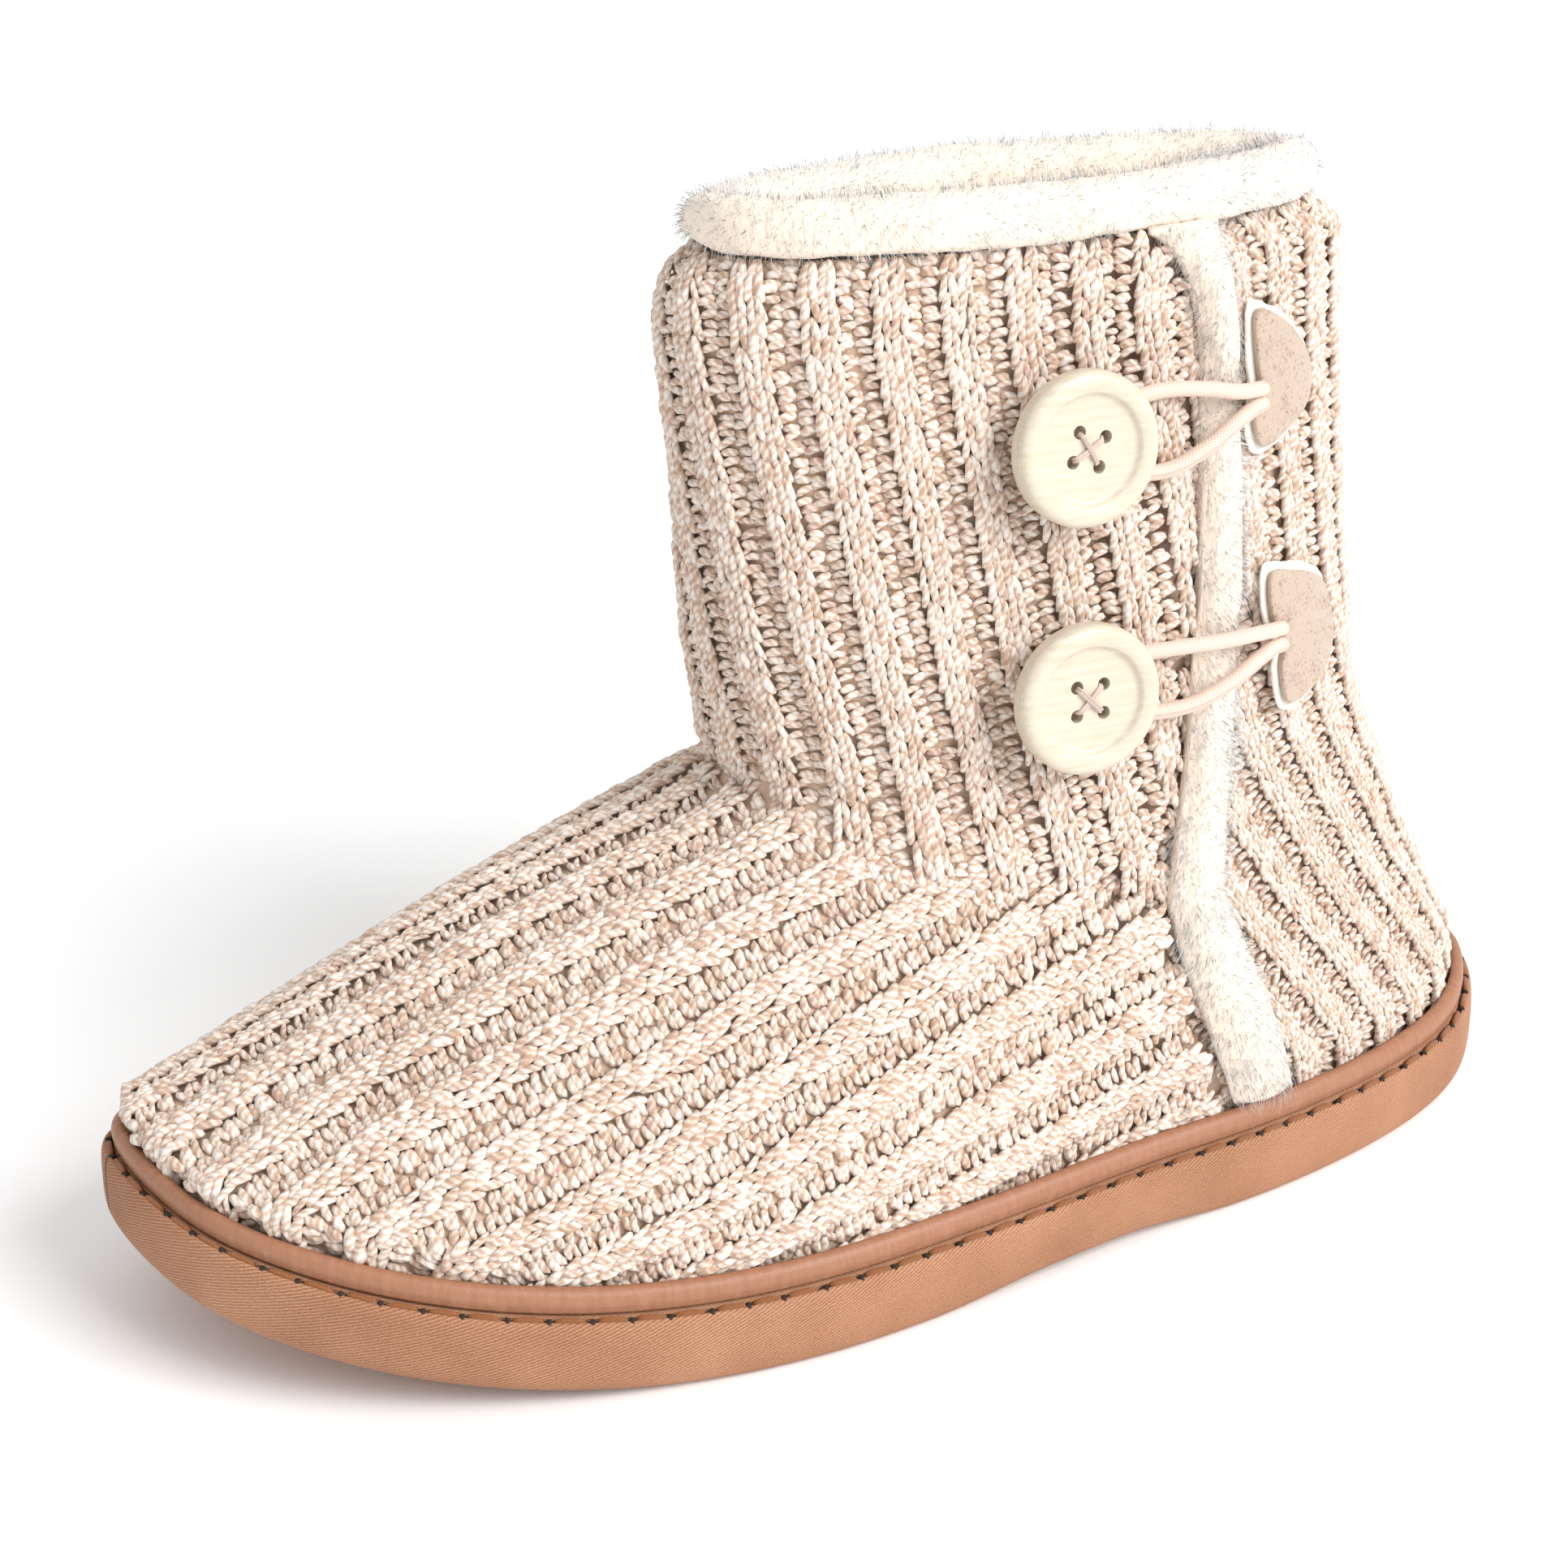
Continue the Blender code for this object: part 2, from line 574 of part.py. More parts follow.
def make_collar(finish, collection):
    """Plush roll hooked over the knit edge."""
    turns = np.arange(COLLAR_AROUND) / COLLAR_AROUND
    edge = upper_plain(turns, COLLAR_HEIGHT)
    along = np.roll(edge, -1, axis=0) - np.roll(edge, 1, axis=0)
    outward = np.column_stack([along[:, 1], -along[:, 0]])
    outward /= np.linalg.norm(outward, axis=1, keepdims=True)
    inner_side = smooth(0.5 - edge[:, 0] / COLLAR_WIDTH)
    rows = []
    for j, row in enumerate(PLUSH_ROLL):
        tuft = np.array([lock(i, j) for i in range(COLLAR_AROUND)]) * row.tuft
        high = row.height * (PLUSH_RISE if row.height > 0 else PLUSH_DROP)
        high = high * np.where(row.height > 0.1, 1 - COLLAR_DIP * inner_side, 1.0)
        inward = row.inward * PLUSH_DEPTH
        plan = edge[:, :2] + outward * (tuft - inward)[:, None]
        rows.append(np.column_stack([plan, COLLAR_HEIGHT + high + 0.6 * abs(tuft) * (row.height > 0.1)]))
    points = np.concatenate(rows)
    faces = band_faces(len(rows) + 1, COLLAR_AROUND)
    faces = [tuple(i % len(points) for i in face) for face in faces]
    return mesh_object("plush_collar", points, faces, finish, collection)


def strip_edges(z):
    """y of the plush strip's two edges at height z: it follows the lap and its rounded corner."""
    share = (z - WELT_TOP) / (COLLAR_HEIGHT - WELT_TOP)
    lap = HALF * np.interp(share, column(LAP, "height"), column(LAP, "edge"))
    back = lap + LAP_SLIT + GAP + HALF * np.interp(share, column(LAP, "height"), column(LAP, "width"))
    down = np.clip((COLLAR_HEIGHT - z) / CORNER_HEIGHT, 0, 1)
    rounding = CORNER_WIDTH * (1 - np.sqrt(1 - (1 - down) ** 2))
    return lap + LAP_SLIT + GAP - rounding, back


def press(z):
    """Share of the strip's height that is left where an elastic crosses it."""
    left = 1.0
    for fastening in FASTENINGS:
        middle = level(fastening.tab_height) + fastening.anchor * TAB_HEIGHT
        left = min(left, 1 - PRESS_DEPTH * math.exp(-(((z - middle) / PRESS_REACH) ** 2)))
    return left


def make_strip(finish, collection):
    """Plush down the lap: a rounded strip on the back panel, lumpy with locks."""
    bottom, top = WELT_TOP + 2 * GAP, COLLAR_HEIGHT - 2 * GAP
    points = []
    for i in range(STRIP_ROWS):
        z = bottom + (top - bottom) * i / (STRIP_ROWS - 1)
        front, back = strip_edges(z)
        shares = np.linspace(0, 1, STRIP_ACROSS)
        y = front + (back - front) * shares
        swell = np.sin(math.pi * np.clip(shares, 0.06, 0.94)) ** 0.6
        ends = math.sqrt(max(0.16, math.sin(math.pi * (i + 0.5) / STRIP_ROWS)))
        high = STRIP_HEIGHT * press(z) * swell * min(1.0, 1.5 * ends)
        tuft = np.array([lock(i * 1.3, k + 3) for k in range(STRIP_ACROSS)]) * swell
        level_row = np.full(STRIP_ACROSS, z)
        points.append(side_point(y, level_row, 2 * GAP + high + tuft)[0])
        points.append(side_point(y[::-1], level_row, np.full(STRIP_ACROSS, 2 * GAP))[0])
    points = np.concatenate(points)
    ring = 2 * STRIP_ACROSS
    faces = band_faces(STRIP_ROWS, ring)
    faces += [tuple(range(ring)), tuple((STRIP_ROWS - 1) * ring + i for i in range(ring))]
    return mesh_object("plush_strip", points, faces, finish, collection)


def closed_curve(corners, count):
    """count points on a smooth closed curve through the corners."""
    corners = np.array(corners, float)
    padded = np.concatenate([corners[-2:], corners, corners[:3]])
    knots = np.arange(-2, len(corners) + 3)
    at = np.arange(count) * len(corners) / count
    return np.column_stack([through(knots, padded[:, k], at) for k in range(2)])


def make_patch(name, corners, middle, margin, low, thick, finish, collection):
    """A flat cut shape laid on the outer side, from low to low + thick off the knit."""
    count = TAB_POINTS
    rim = closed_curve([(c.along * TAB_HEIGHT, c.up * TAB_HEIGHT) for c in corners], count)
    rim = rim * (1 - margin / np.linalg.norm(rim, axis=1, keepdims=True))
    shares = (1.0, 0.6, 0.0)
    points = []
    for out in (low, low + thick):
        for share in shares:
            flat = rim * share if share else np.zeros((1, 2))
            flat = flat + middle
            points.append(side_point(flat[:, 0], flat[:, 1], np.full(len(flat), out))[0])
    points = np.concatenate(points)
    layer = 2 * count + 1
    faces = []
    for base in (0, layer):
        for i in range(count):
            j = (i + 1) % count
            faces.append((base + i, base + j, base + count + j, base + count + i))
            faces.append((base + count + i, base + count + j, base + 2 * count))
    faces += [(i, (i + 1) % count, layer + (i + 1) % count, layer + i) for i in range(count)]
    return mesh_object(name, points, faces, finish, collection)


def frame_on_side(y, z, out):
    """Matrix of a frame on the outer side: its z axis points away from the knit and its y axis up."""
    origin, normal = side_point(y, z, out)
    away = Vector(normal)
    sideways = Vector((0, 0, 1)).cross(away).normalized()
    axes = Matrix((sideways, away.cross(sideways), away)).transposed().to_4x4()
    return Matrix.Translation(Vector(origin)) @ axes


def make_button(fastening, place, finish, collection, cutters):
    """Turned disc with a raised rim, and four holes cut through it."""
    radius, face = BUTTON_WIDTH / 2, BUTTON_THICK - BUTTON_RECESS
    inside = radius - BUTTON_RIM
    profile = (
        (0, face),
        (inside - BUTTON_ROUND / 2, face),
        (inside + BUTTON_ROUND / 3, BUTTON_THICK - BUTTON_ROUND / 5),
        (radius - BUTTON_ROUND, BUTTON_THICK),
        (radius, BUTTON_THICK - BUTTON_ROUND),
        (radius, BUTTON_ROUND),
        (radius - BUTTON_ROUND, 0),
        (0, 0),
    )
    mesh = bpy.data.meshes.new("button_" + fastening.name)
    mesh.from_pydata([(r, 0, z) for r, z in profile], [(i, i + 1) for i in range(len(profile) - 1)], [])
    button = bpy.data.objects.new("button_" + fastening.name, mesh)
    button.data.materials.append(finish)
    collection.objects.link(button)
    button.matrix_world = place
    turned = button.modifiers.new("turned", "SCREW")
    turned.steps = turned.render_steps = TURN
    turned.use_merge_vertices = True
    turned.merge_threshold = 1e-5
    turned.use_smooth_shade = True
    cutter_mesh = bpy.data.meshes.new("holes_" + fastening.name)
    work = bmesh.new()
    for k in range(4):
        angle = fastening.turn + k * math.pi / 2
        reach = HOLE_SPACING / math.sqrt(2)
        spot = Matrix.Translation((reach * math.cos(angle), reach * math.sin(angle), BUTTON_THICK / 2))
        bmesh.ops.create_cone(
            work, cap_ends=True, segments=HOLE_SIDES, radius1=HOLE_WIDTH / 2, radius2=HOLE_WIDTH / 2,
            depth=3 * BUTTON_THICK, matrix=spot,
        )
    work.to_mesh(cutter_mesh)
    work.free()
    cutter = bpy.data.objects.new("holes_" + fastening.name, cutter_mesh)
    cutters.objects.link(cutter)
    cutter.matrix_world = place
    cutter.hide_render = True
    cutter.display_type = "WIRE"
    cut = button.modifiers.new("holes", "BOOLEAN")
    cut.operation = "DIFFERENCE"
    cut.object = cutter
    cut.solver = "EXACT"
    return button


def make_shank(fastening, place, finish, collection):
    """Wound thread between the knit and the button."""
    mesh = bpy.data.meshes.new("thread_" + fastening.name)
    work = bmesh.new()
    height = SHANK_HEIGHT - 2 * GAP
    bmesh.ops.create_cone(
        work, cap_ends=True, segments=SHANK_SIDES, radius1=SHANK_WIDTH / 2, radius2=SHANK_WIDTH / 2,
        depth=height, matrix=Matrix.Translation((0, 0, GAP + height / 2)),
    )
    work.to_mesh(mesh)
    work.free()
    mesh.shade_smooth()
    mesh.set_sharp_from_angle(angle=math.radians(40))
    mesh.materials.append(finish)
    made = bpy.data.objects.new("thread_" + fastening.name, mesh)
    collection.objects.link(made)
    made.matrix_world = place
    return made


def make_elastic(fastening, button_spot, tab_spot, finish, collection):
    """Elastic loop: from the tab's edge round the button's thread and back, lying on what it crosses."""
    start = np.array(tab_spot) + (-TAB_GRIP * TAB_HEIGHT - 2 * GAP, fastening.anchor * TAB_HEIGHT)
    end = np.array(button_spot)
    route = []
    bend = (SHANK_WIDTH + ELASTIC_WIDTH) / 2 + GAP
    half = len(fastening.loop) // 2
    for k, row in enumerate(fastening.loop):
        spot = start + (end - start) * row.along
        route.append((spot[0], spot[1] + row.up * BUTTON_WIDTH))
        if k == half - 1:
            for angle in LOOP_ANGLES:
                a = math.radians(angle)
                route.append((end[0] - bend * math.cos(a), end[1] + bend * math.sin(a)))
    route = np.array(route)
    knots = np.arange(len(route))
    at = np.linspace(0, len(route) - 1, LOOP_POINTS)
    y, z = (through(knots, route[:, k], at) for k in range(2))
    low = np.array([lie_height(a, b) for a, b in zip(y, z)])
    points, _ = side_point(y, z, low + ELASTIC_WIDTH / 2 + GAP)
    data = bpy.data.curves.new("elastic_" + fastening.name, "CURVE")
    data.dimensions = "3D"
    data.bevel_depth = ELASTIC_WIDTH / 2
    data.bevel_resolution = (SIDES - 4) // 2
    data.use_fill_caps = True
    spline = data.splines.new("POLY")
    spline.points.add(len(points) - 1)
    spline.points.foreach_set("co", np.column_stack([points, np.ones(len(points))]).ravel())
    data.materials.append(finish)
    made = bpy.data.objects.new("elastic_" + fastening.name, data)
    collection.objects.link(made)
    return made


def lie_height(y, z):
    """Height of whatever lies under an elastic at this place, off the back panel's face."""
    front, back = strip_edges(z)
    before = smooth((y - (front - STRIP_SHOULDER)) / STRIP_SHOULDER)
    after = smooth((back + STRIP_SHOULDER / 2 - y) / STRIP_SHOULDER)
    strip = (STRIP_HEIGHT * press(z) + LOCK_SIZE + 3 * GAP) * before * after
    knit = float(lap_rise(np.float64(min(y, lap_edge(z))), np.float64(z))) + GAP
    return max(strip, knit)


def main():
    for old in list(bpy.data.objects):
        bpy.data.objects.remove(old, do_unlink=True)
    collection = bpy.data.collections.new("knit_slipper")
    cutters = bpy.data.collections.new("cutters")
    bpy.context.scene.collection.children.link(collection)
    bpy.context.scene.collection.children.link(cutters)
    finish = {name: material(name) for name in FINISHES}

    make_outsole(finish["sole_rubber"], collection)
    make_insole(finish["footbed"], collection)
    make_welt(finish["welt_strip"], collection)
    make_upper(finish["knit_yarn"], collection)
    make_collar(finish["plush"], collection)
    make_strip(finish["plush"], collection)
    for fastening in FASTENINGS:
        button_spot = (HALF * BUTTON_ALONG, level(fastening.height))
        tab_spot = (HALF * fastening.tab_along, level(fastening.tab_height))
        rise = float(lap_rise(np.float64(button_spot[0]), np.float64(button_spot[1])))
        knit = frame_on_side(*button_spot, rise)
        make_shank(fastening, knit, finish["elastic"], collection)
        place = knit @ Matrix.Translation((0, 0, SHANK_HEIGHT))
        make_button(fastening, place, finish["wood"], collection, cutters)
        make_elastic(fastening, button_spot, tab_spot, finish["elastic"], collection)
        corners = TAB_OUTLINES[fastening.name]
        make_patch(
            "tab_backing_" + fastening.name, corners, tab_spot, 0.0, GAP * 1.5, BACKING_THICK,
            finish["fleece_edge"], collection,
        )
        make_patch(
            "tab_" + fastening.name, corners, tab_spot, BACKING_MARGIN, GAP * 2.5 + BACKING_THICK, TAB_THICK,
            finish["suede"], collection,
        )


main()
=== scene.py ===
# %% [markdown]
# # A knit slipper boot
# The CAD solids give the shape. This script dresses them: thousands of real stitches for the knit,
# pile for the plush, and a fine surface for the sole, the welt, the buttons, the loops and the tabs.
# Lengths are in metres, the floor is z = 0, the toe points along -Y and the outer side is +X.

# %% Start
import math

import bpy
import numpy as np
from mathutils import Matrix, Vector


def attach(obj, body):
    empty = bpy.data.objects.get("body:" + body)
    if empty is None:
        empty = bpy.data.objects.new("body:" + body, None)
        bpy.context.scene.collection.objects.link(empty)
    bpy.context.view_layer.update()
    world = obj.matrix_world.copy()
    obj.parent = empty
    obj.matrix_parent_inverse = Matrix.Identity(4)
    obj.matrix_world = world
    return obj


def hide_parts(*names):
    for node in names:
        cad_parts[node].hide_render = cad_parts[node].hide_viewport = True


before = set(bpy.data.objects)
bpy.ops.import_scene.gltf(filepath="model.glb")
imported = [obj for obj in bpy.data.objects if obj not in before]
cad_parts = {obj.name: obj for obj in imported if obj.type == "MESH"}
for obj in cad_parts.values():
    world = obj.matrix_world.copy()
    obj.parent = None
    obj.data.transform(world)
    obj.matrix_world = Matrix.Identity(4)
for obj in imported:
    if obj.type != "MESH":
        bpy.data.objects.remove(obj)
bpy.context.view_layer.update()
MM = 0.001
rng = np.random.default_rng(7)

# %% [markdown]
# ## Camera
# The photograph was taken from the outer side, a little in front and above, with a moderate tele lens.
# The camera's place, lens and shift were fitted to the sole's edge and the buttons.


# %% Camera
def aim(thing, where, target):
    """Place thing at where, looking along its -Z at target with +Y up."""
    thing.location = where
    thing.rotation_euler = (Vector(target) - Vector(where)).to_track_quat("-Z", "Y").to_euler()


CAMERA_PLACE = Vector((0.40198, -0.22101, 0.27723))
CAMERA_LOOK = Vector((-0.82270, 0.42067, -0.38235))
camera = bpy.data.objects.new("camera", bpy.data.cameras.new("camera"))
camera.data.lens = 67.0
camera.data.sensor_width = 36.0
camera.data.shift_y = -0.0418
camera.data.clip_end = 20
aim(camera, CAMERA_PLACE, CAMERA_PLACE + CAMERA_LOOK)
bpy.context.scene.collection.objects.link(camera)
bpy.context.scene.camera = camera


# %% [markdown]
# ## Helpers
# Colours are written as sRGB hex values, the way a picture editor shows them. One function adds a
# shader node with its settings and its links, so each material reads as a short recipe.

# %% Colour and node helpers
def linear(code):
    """Linear RGBA of an sRGB hex colour."""
    parts = [int(code[i:i + 2], 16) / 255 for i in (0, 2, 4)]
    return (*[c / 12.92 if c <= 0.04045 else ((c + 0.055) / 1.055) ** 2.4 for c in parts], 1.0)


def node(tree, kind, inputs=None, stops=(), to=None, **settings):
    """Add a node with its settings and links.

    Inputs are values or output sockets, by the input's name or number; stops are (place, hex colour)
    pairs of a ramp; to is the socket that the node's first output feeds.
    """
    made = tree.nodes.new(kind)
    for name, value in settings.items():
        setattr(made, name, value)
    for key, value in (inputs or {}).items():
        if isinstance(value, bpy.types.NodeSocket):
            tree.links.new(value, made.inputs[key])
        else:
            made.inputs[key].default_value = value
    for _ in stops[2:]:
        made.color_ramp.elements.new(0.5)
    for k, (place, code) in enumerate(stops):
        made.color_ramp.elements[k].position = place
        made.color_ramp.elements[k].color = linear(code)
    if to is not None:
        tree.links.new(made.outputs[0], to)
    return made


def new_material(name, roughness, **sockets):
    """A material with a Principled shader; returns the material, its tree and its shader."""
    made = bpy.data.materials.new(name)
    made.use_nodes = True
    shader = made.node_tree.nodes["Principled BSDF"]
    shader.inputs["Roughness"].default_value = roughness
    for key, value in sockets.items():
        shader.inputs[key.replace("_", " ")].default_value = value
    return made, made.node_tree, shader


# %% Mesh helpers
def unit(vectors):
    """The same directions with length 1."""
    return vectors / np.linalg.norm(vectors, axis=-1, keepdims=True)


def grid_faces(rows, columns, close_rows=False, close_columns=False):
    """Quads of a grid of points numbered row by row, optionally closed either way."""
    r = np.arange(rows if close_rows else rows - 1)
    c = np.arange(columns if close_columns else columns - 1)
    r, c = (a.ravel() for a in np.meshgrid(r, c, indexing="ij"))
    r2, c2 = (r + 1) % rows, (c + 1) % columns
    return np.stack([r * columns + c, r * columns + c2, r2 * columns + c2, r2 * columns + c], -1)


def triangles(quads):
    """Two triangles for each quad."""
    return quads[:, [0, 1, 2, 0, 2, 3]].reshape(-1, 3)


def capped(rings, sides, first_pole, last_pole, start=0):
    """Triangles of stacked rings of points, numbered from start, closed by a point at both ends."""
    i = np.arange(sides)
    j = (i + 1) % sides
    top = start + (rings - 1) * sides
    return np.concatenate([
        triangles(grid_faces(rings, sides, close_columns=True)) + start,
        np.stack([np.full(sides, first_pole), start + j, start + i], -1),
        np.stack([np.full(sides, last_pole), top + i, top + j], -1),
    ])


def repeated(faces, copies, size):
    """The faces of one shape again for each copy, whose points (size of them) follow each other."""
    return (faces + (np.arange(copies) * size)[:, None, None]).reshape(-1, 3)


def circle(sideways, above, angles):
    """Directions round a line: cos(angle) sideways + sin(angle) above."""
    return (np.cos(angles)[:, None] * sideways[..., None, :]
            + np.sin(angles)[:, None] * above[..., None, :])


def joined(parts):
    """Several sets of points, faces and further columns as one, with the faces renumbered."""
    counts = np.cumsum([0] + [len(part[0]) for part in parts])
    columns = [np.concatenate(column) for column in zip(*parts)]
    columns[1] = np.concatenate([part[1] + count for part, count in zip(parts, counts)])
    return columns


def new_piece(name, points, faces, material, replaced=(), smooth=True, uv=None, tone=None):
    """An object from points (n, 3) and faces (n, 3 or 4), its faces outwards, riding on the root.

    uv holds one pair for each point, tone one number for each point.
    """
    mesh = bpy.data.meshes.new(name)
    points = np.asarray(points, np.float32)
    faces = np.asarray(faces, np.int32)
    mesh.vertices.add(len(points))
    mesh.vertices.foreach_set("co", points.ravel())
    mesh.loops.add(faces.size)
    mesh.loops.foreach_set("vertex_index", faces.ravel())
    mesh.polygons.add(len(faces))
    mesh.polygons.foreach_set("loop_start", np.arange(0, faces.size, faces.shape[1], dtype=np.int32))
    mesh.update(calc_edges=True)
    if smooth:
        mesh.shade_smooth()
    if uv is not None:
        layer = mesh.uv_layers.new(name="Pattern")
        layer.data.foreach_set("uv", np.asarray(uv, np.float32)[faces.ravel()].ravel())
    if tone is not None:
        tones = mesh.attributes.new("tone", "FLOAT", "POINT")
        tones.data.foreach_set("value", np.asarray(tone, np.float32))
    mesh.validate()
    mesh.materials.append(material)
    made = bpy.data.objects.new(name, mesh)
    bpy.context.scene.collection.objects.link(made)
    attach(made, "root")
    if replaced:
        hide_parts(*replaced)
    corner = points[triangles(faces) if faces.shape[1] == 4 else faces].astype(float)
    volume = (corner[:, 0] * np.cross(corner[:, 1], corner[:, 2])).sum() / 6
    print(f"{name}: {len(corner)} triangles round {volume / MM**3 / 1000:.2f} cm3")
    return made


# %% [markdown]
# ## The shape of the shoe
# The solids follow a few short tables: the outline of the sole, level sections of the upper, the lap
# and the vamp's seam. The same tables are worked out here again, on far finer grids, so every stitch
# and hair finds its place, direction and height without any fitting.

# %% Sizes and tables, the same as the solids'
LENGTH, BALL_WIDTH, SOLE_EDGE = 0.265, 0.104, 0.0136
TOE_SPRING, HEEL_LIFT, ARCH_OUTER, ARCH_INNER = 0.0180, 0.0025, 0.0018, 0.0036
WELT_SETBACK, WELT_THICK, WELT_HEIGHT = 0.0022, 0.0023, 0.0040
COLLAR_HEIGHT, COLLAR_WIDTH, WALL = 0.172, 0.048, 0.0030
LAP_STEP, LAP_REACH, LAP_SLIT = 0.0020, 0.034, 0.0012
CORNER_WIDTH, CORNER_HEIGHT = 0.0115, 0.0230
PLUSH_RISE, PLUSH_DROP, PLUSH_DEPTH, STRIP_HEIGHT = 0.0098, 0.0080, 0.0112, 0.0044
BUTTON_WIDTH, BUTTON_THICK, SHANK_HEIGHT, SHANK_WIDTH = 0.0250, 0.0044, 0.0042, 0.0042
ELASTIC_WIDTH, TAB_HEIGHT, TAB_THICK, BACKING_THICK, BACKING_MARGIN = 0.0026, 0.0255, 0.0010, 0.0008, 0.0014
INSOLE_THICK, GAP, OVAL_POWER = 0.0040, 0.0003, 2.2
HALF, BALL = LENGTH / 2, BALL_WIDTH / 2
UPPER_INSET = WELT_SETBACK + WELT_THICK + GAP
BASE = SOLE_EDGE + GAP
WELT_TOP = BASE + WELT_HEIGHT + GAP
REACH = HALF - UPPER_INSET
SPRING_FADE = 0.44 * (COLLAR_HEIGHT - BASE)

# along from the toe, outer and inner half widths
OUTLINE = np.array([
    (0.00, -0.24, -0.24), (0.03, 0.31, -0.55), (0.08, 0.56, -0.70), (0.17, 0.79, -0.84), (0.28, 0.93, -0.95),
    (0.38, 0.985, -0.955), (0.50, 0.945, -0.86), (0.62, 0.87, -0.775), (0.74, 0.82, -0.74),
    (0.85, 0.70, -0.665), (0.93, 0.52, -0.50), (0.98, 0.27, -0.27), (1.00, 0.00, 0.00),
])
# height, front, back, width, oval and depth of the upper's level sections
SECTIONS = np.array([
    (0.000, -1.000, 1.000, 1.000, 0.00, 1.42), (0.038, -1.005, 0.991, 1.025, 0.00, 1.42),
    (0.090, -0.936, 0.957, 1.019, 0.00, 1.42), (0.155, -0.834, 0.916, 0.980, 0.03, 1.42),
    (0.220, -0.722, 0.875, 0.925, 0.12, 1.42), (0.285, -0.580, 0.843, 0.870, 0.28, 1.42),
    (0.337, -0.425, 0.809, 0.837, 0.42, 1.42), (0.376, -0.300, 0.783, 0.815, 0.60, 1.41),
    (0.415, -0.226, 0.763, 0.793, 0.80, 1.40), (0.467, -0.227, 0.748, 0.770, 0.95, 1.37),
    (0.564, -0.245, 0.731, 0.770, 1.00, 1.31), (0.694, -0.259, 0.714, 0.770, 1.00, 1.23),
    (0.857, -0.277, 0.696, 0.770, 1.00, 1.125), (0.925, -0.282, 0.693, 0.770, 1.00, 1.075),
    (0.970, -0.270, 0.682, 0.770, 1.00, 1.045), (1.000, -0.238, 0.646, 0.770, 1.00, 1.00),
])
# share from the front to the lap, height of the seam
SEAM = np.array([(0.00, 0.430), (0.17, 0.424), (0.39, 0.392), (0.67, 0.350), (0.84, 0.320), (1.00, 0.285)])
# height, front panel's edge, width of the plush behind it
LAP = np.array([
    (0.000, 0.392, 0.100), (0.080, 0.350, 0.106), (0.180, 0.308, 0.102), (0.260, 0.286, 0.090),
    (0.410, 0.306, 0.074), (0.600, 0.331, 0.070), (0.860, 0.339, 0.060), (0.940, 0.339, 0.050),
    (1.000, 0.339, 0.030),
])


# %% Curves and the upper's face
def smooth(t):
    """0 to 1 with level ends: 3 t^2 - 2 t^3."""
    t = np.clip(t, 0.0, 1.0)
    return t * t * (3 - 2 * t)


def through(knots, values, at):
    """A curve of cubic pieces through the values, with slopes taken from the neighbours."""
    knots, values = np.asarray(knots, float), np.asarray(values, float)
    slopes = np.gradient(values, knots)
    at = np.clip(at, knots[0], knots[-1])
    i = np.clip(np.searchsorted(knots, at, side="right") - 1, 0, len(knots) - 2)
    span = knots[i + 1] - knots[i]
    t = (at - knots[i]) / span
    start = (2 * t**3 - 3 * t**2 + 1) * values[i] + (t**3 - 2 * t**2 + t) * span * slopes[i]
    return start + (3 * t**2 - 2 * t**3) * values[i + 1] + (t**3 - t**2) * span * slopes[i + 1]


turn_of = np.arccos(1 - 2 * OUTLINE[:, 0]) / (2 * math.pi)
ring_turn = np.concatenate([turn_of, 1 - turn_of[-2:0:-1]])
ring_width = np.concatenate([OUTLINE[:, 1], OUTLINE[-2:0:-1, 2]])
KNOTS = np.concatenate([ring_turn[-3:] - 1, ring_turn, ring_turn[:3] + 1])
WIDTHS = np.concatenate([ring_width[-3:], ring_width, ring_width[:3]])


def outline(turn, inset=0.0):
    """Outline of the sole in plan: x from the widths, y = -HALF cos(2 pi turn), moved inwards."""
    def plain(at):
        at = np.mod(at, 1.0)
        return np.stack([BALL * through(KNOTS, WIDTHS, at), -HALF * np.cos(2 * math.pi * at)], -1)

    turn = np.asarray(turn, float)
    small = 1e-4
    along = unit(plain(turn + small) - plain(turn - small))
    return plain(turn) - np.asarray(inset)[..., None] * np.stack([along[..., 1], -along[..., 0]], -1)


def lift(y):
    """Rise of the sole: squares of how far y is past the toe's and the heel's break."""
    share = np.asarray(y) / LENGTH + 0.5
    toe = TOE_SPRING * np.clip((0.34 - share) / 0.34, 0, None) ** 2
    return toe + HEEL_LIFT * np.clip((share - 0.86) / 0.14, 0, None) ** 2


def arch(x, y):
    """Rise of the tread under the waist."""
    share = np.asarray(y) / LENGTH + 0.5
    across = smooth(0.5 - np.asarray(x) / BALL_WIDTH)
    return smooth((share - 0.45) / 0.10) * smooth((0.70 - share) / 0.10) * (
        ARCH_OUTER + (ARCH_INNER - ARCH_OUTER) * across)


def level(share):
    """World height of a share of the way from the welt to the collar."""
    return WELT_TOP + share * (COLLAR_HEIGHT - WELT_TOP)


def share_of(z):
    return (np.asarray(z) - WELT_TOP) / (COLLAR_HEIGHT - WELT_TOP)


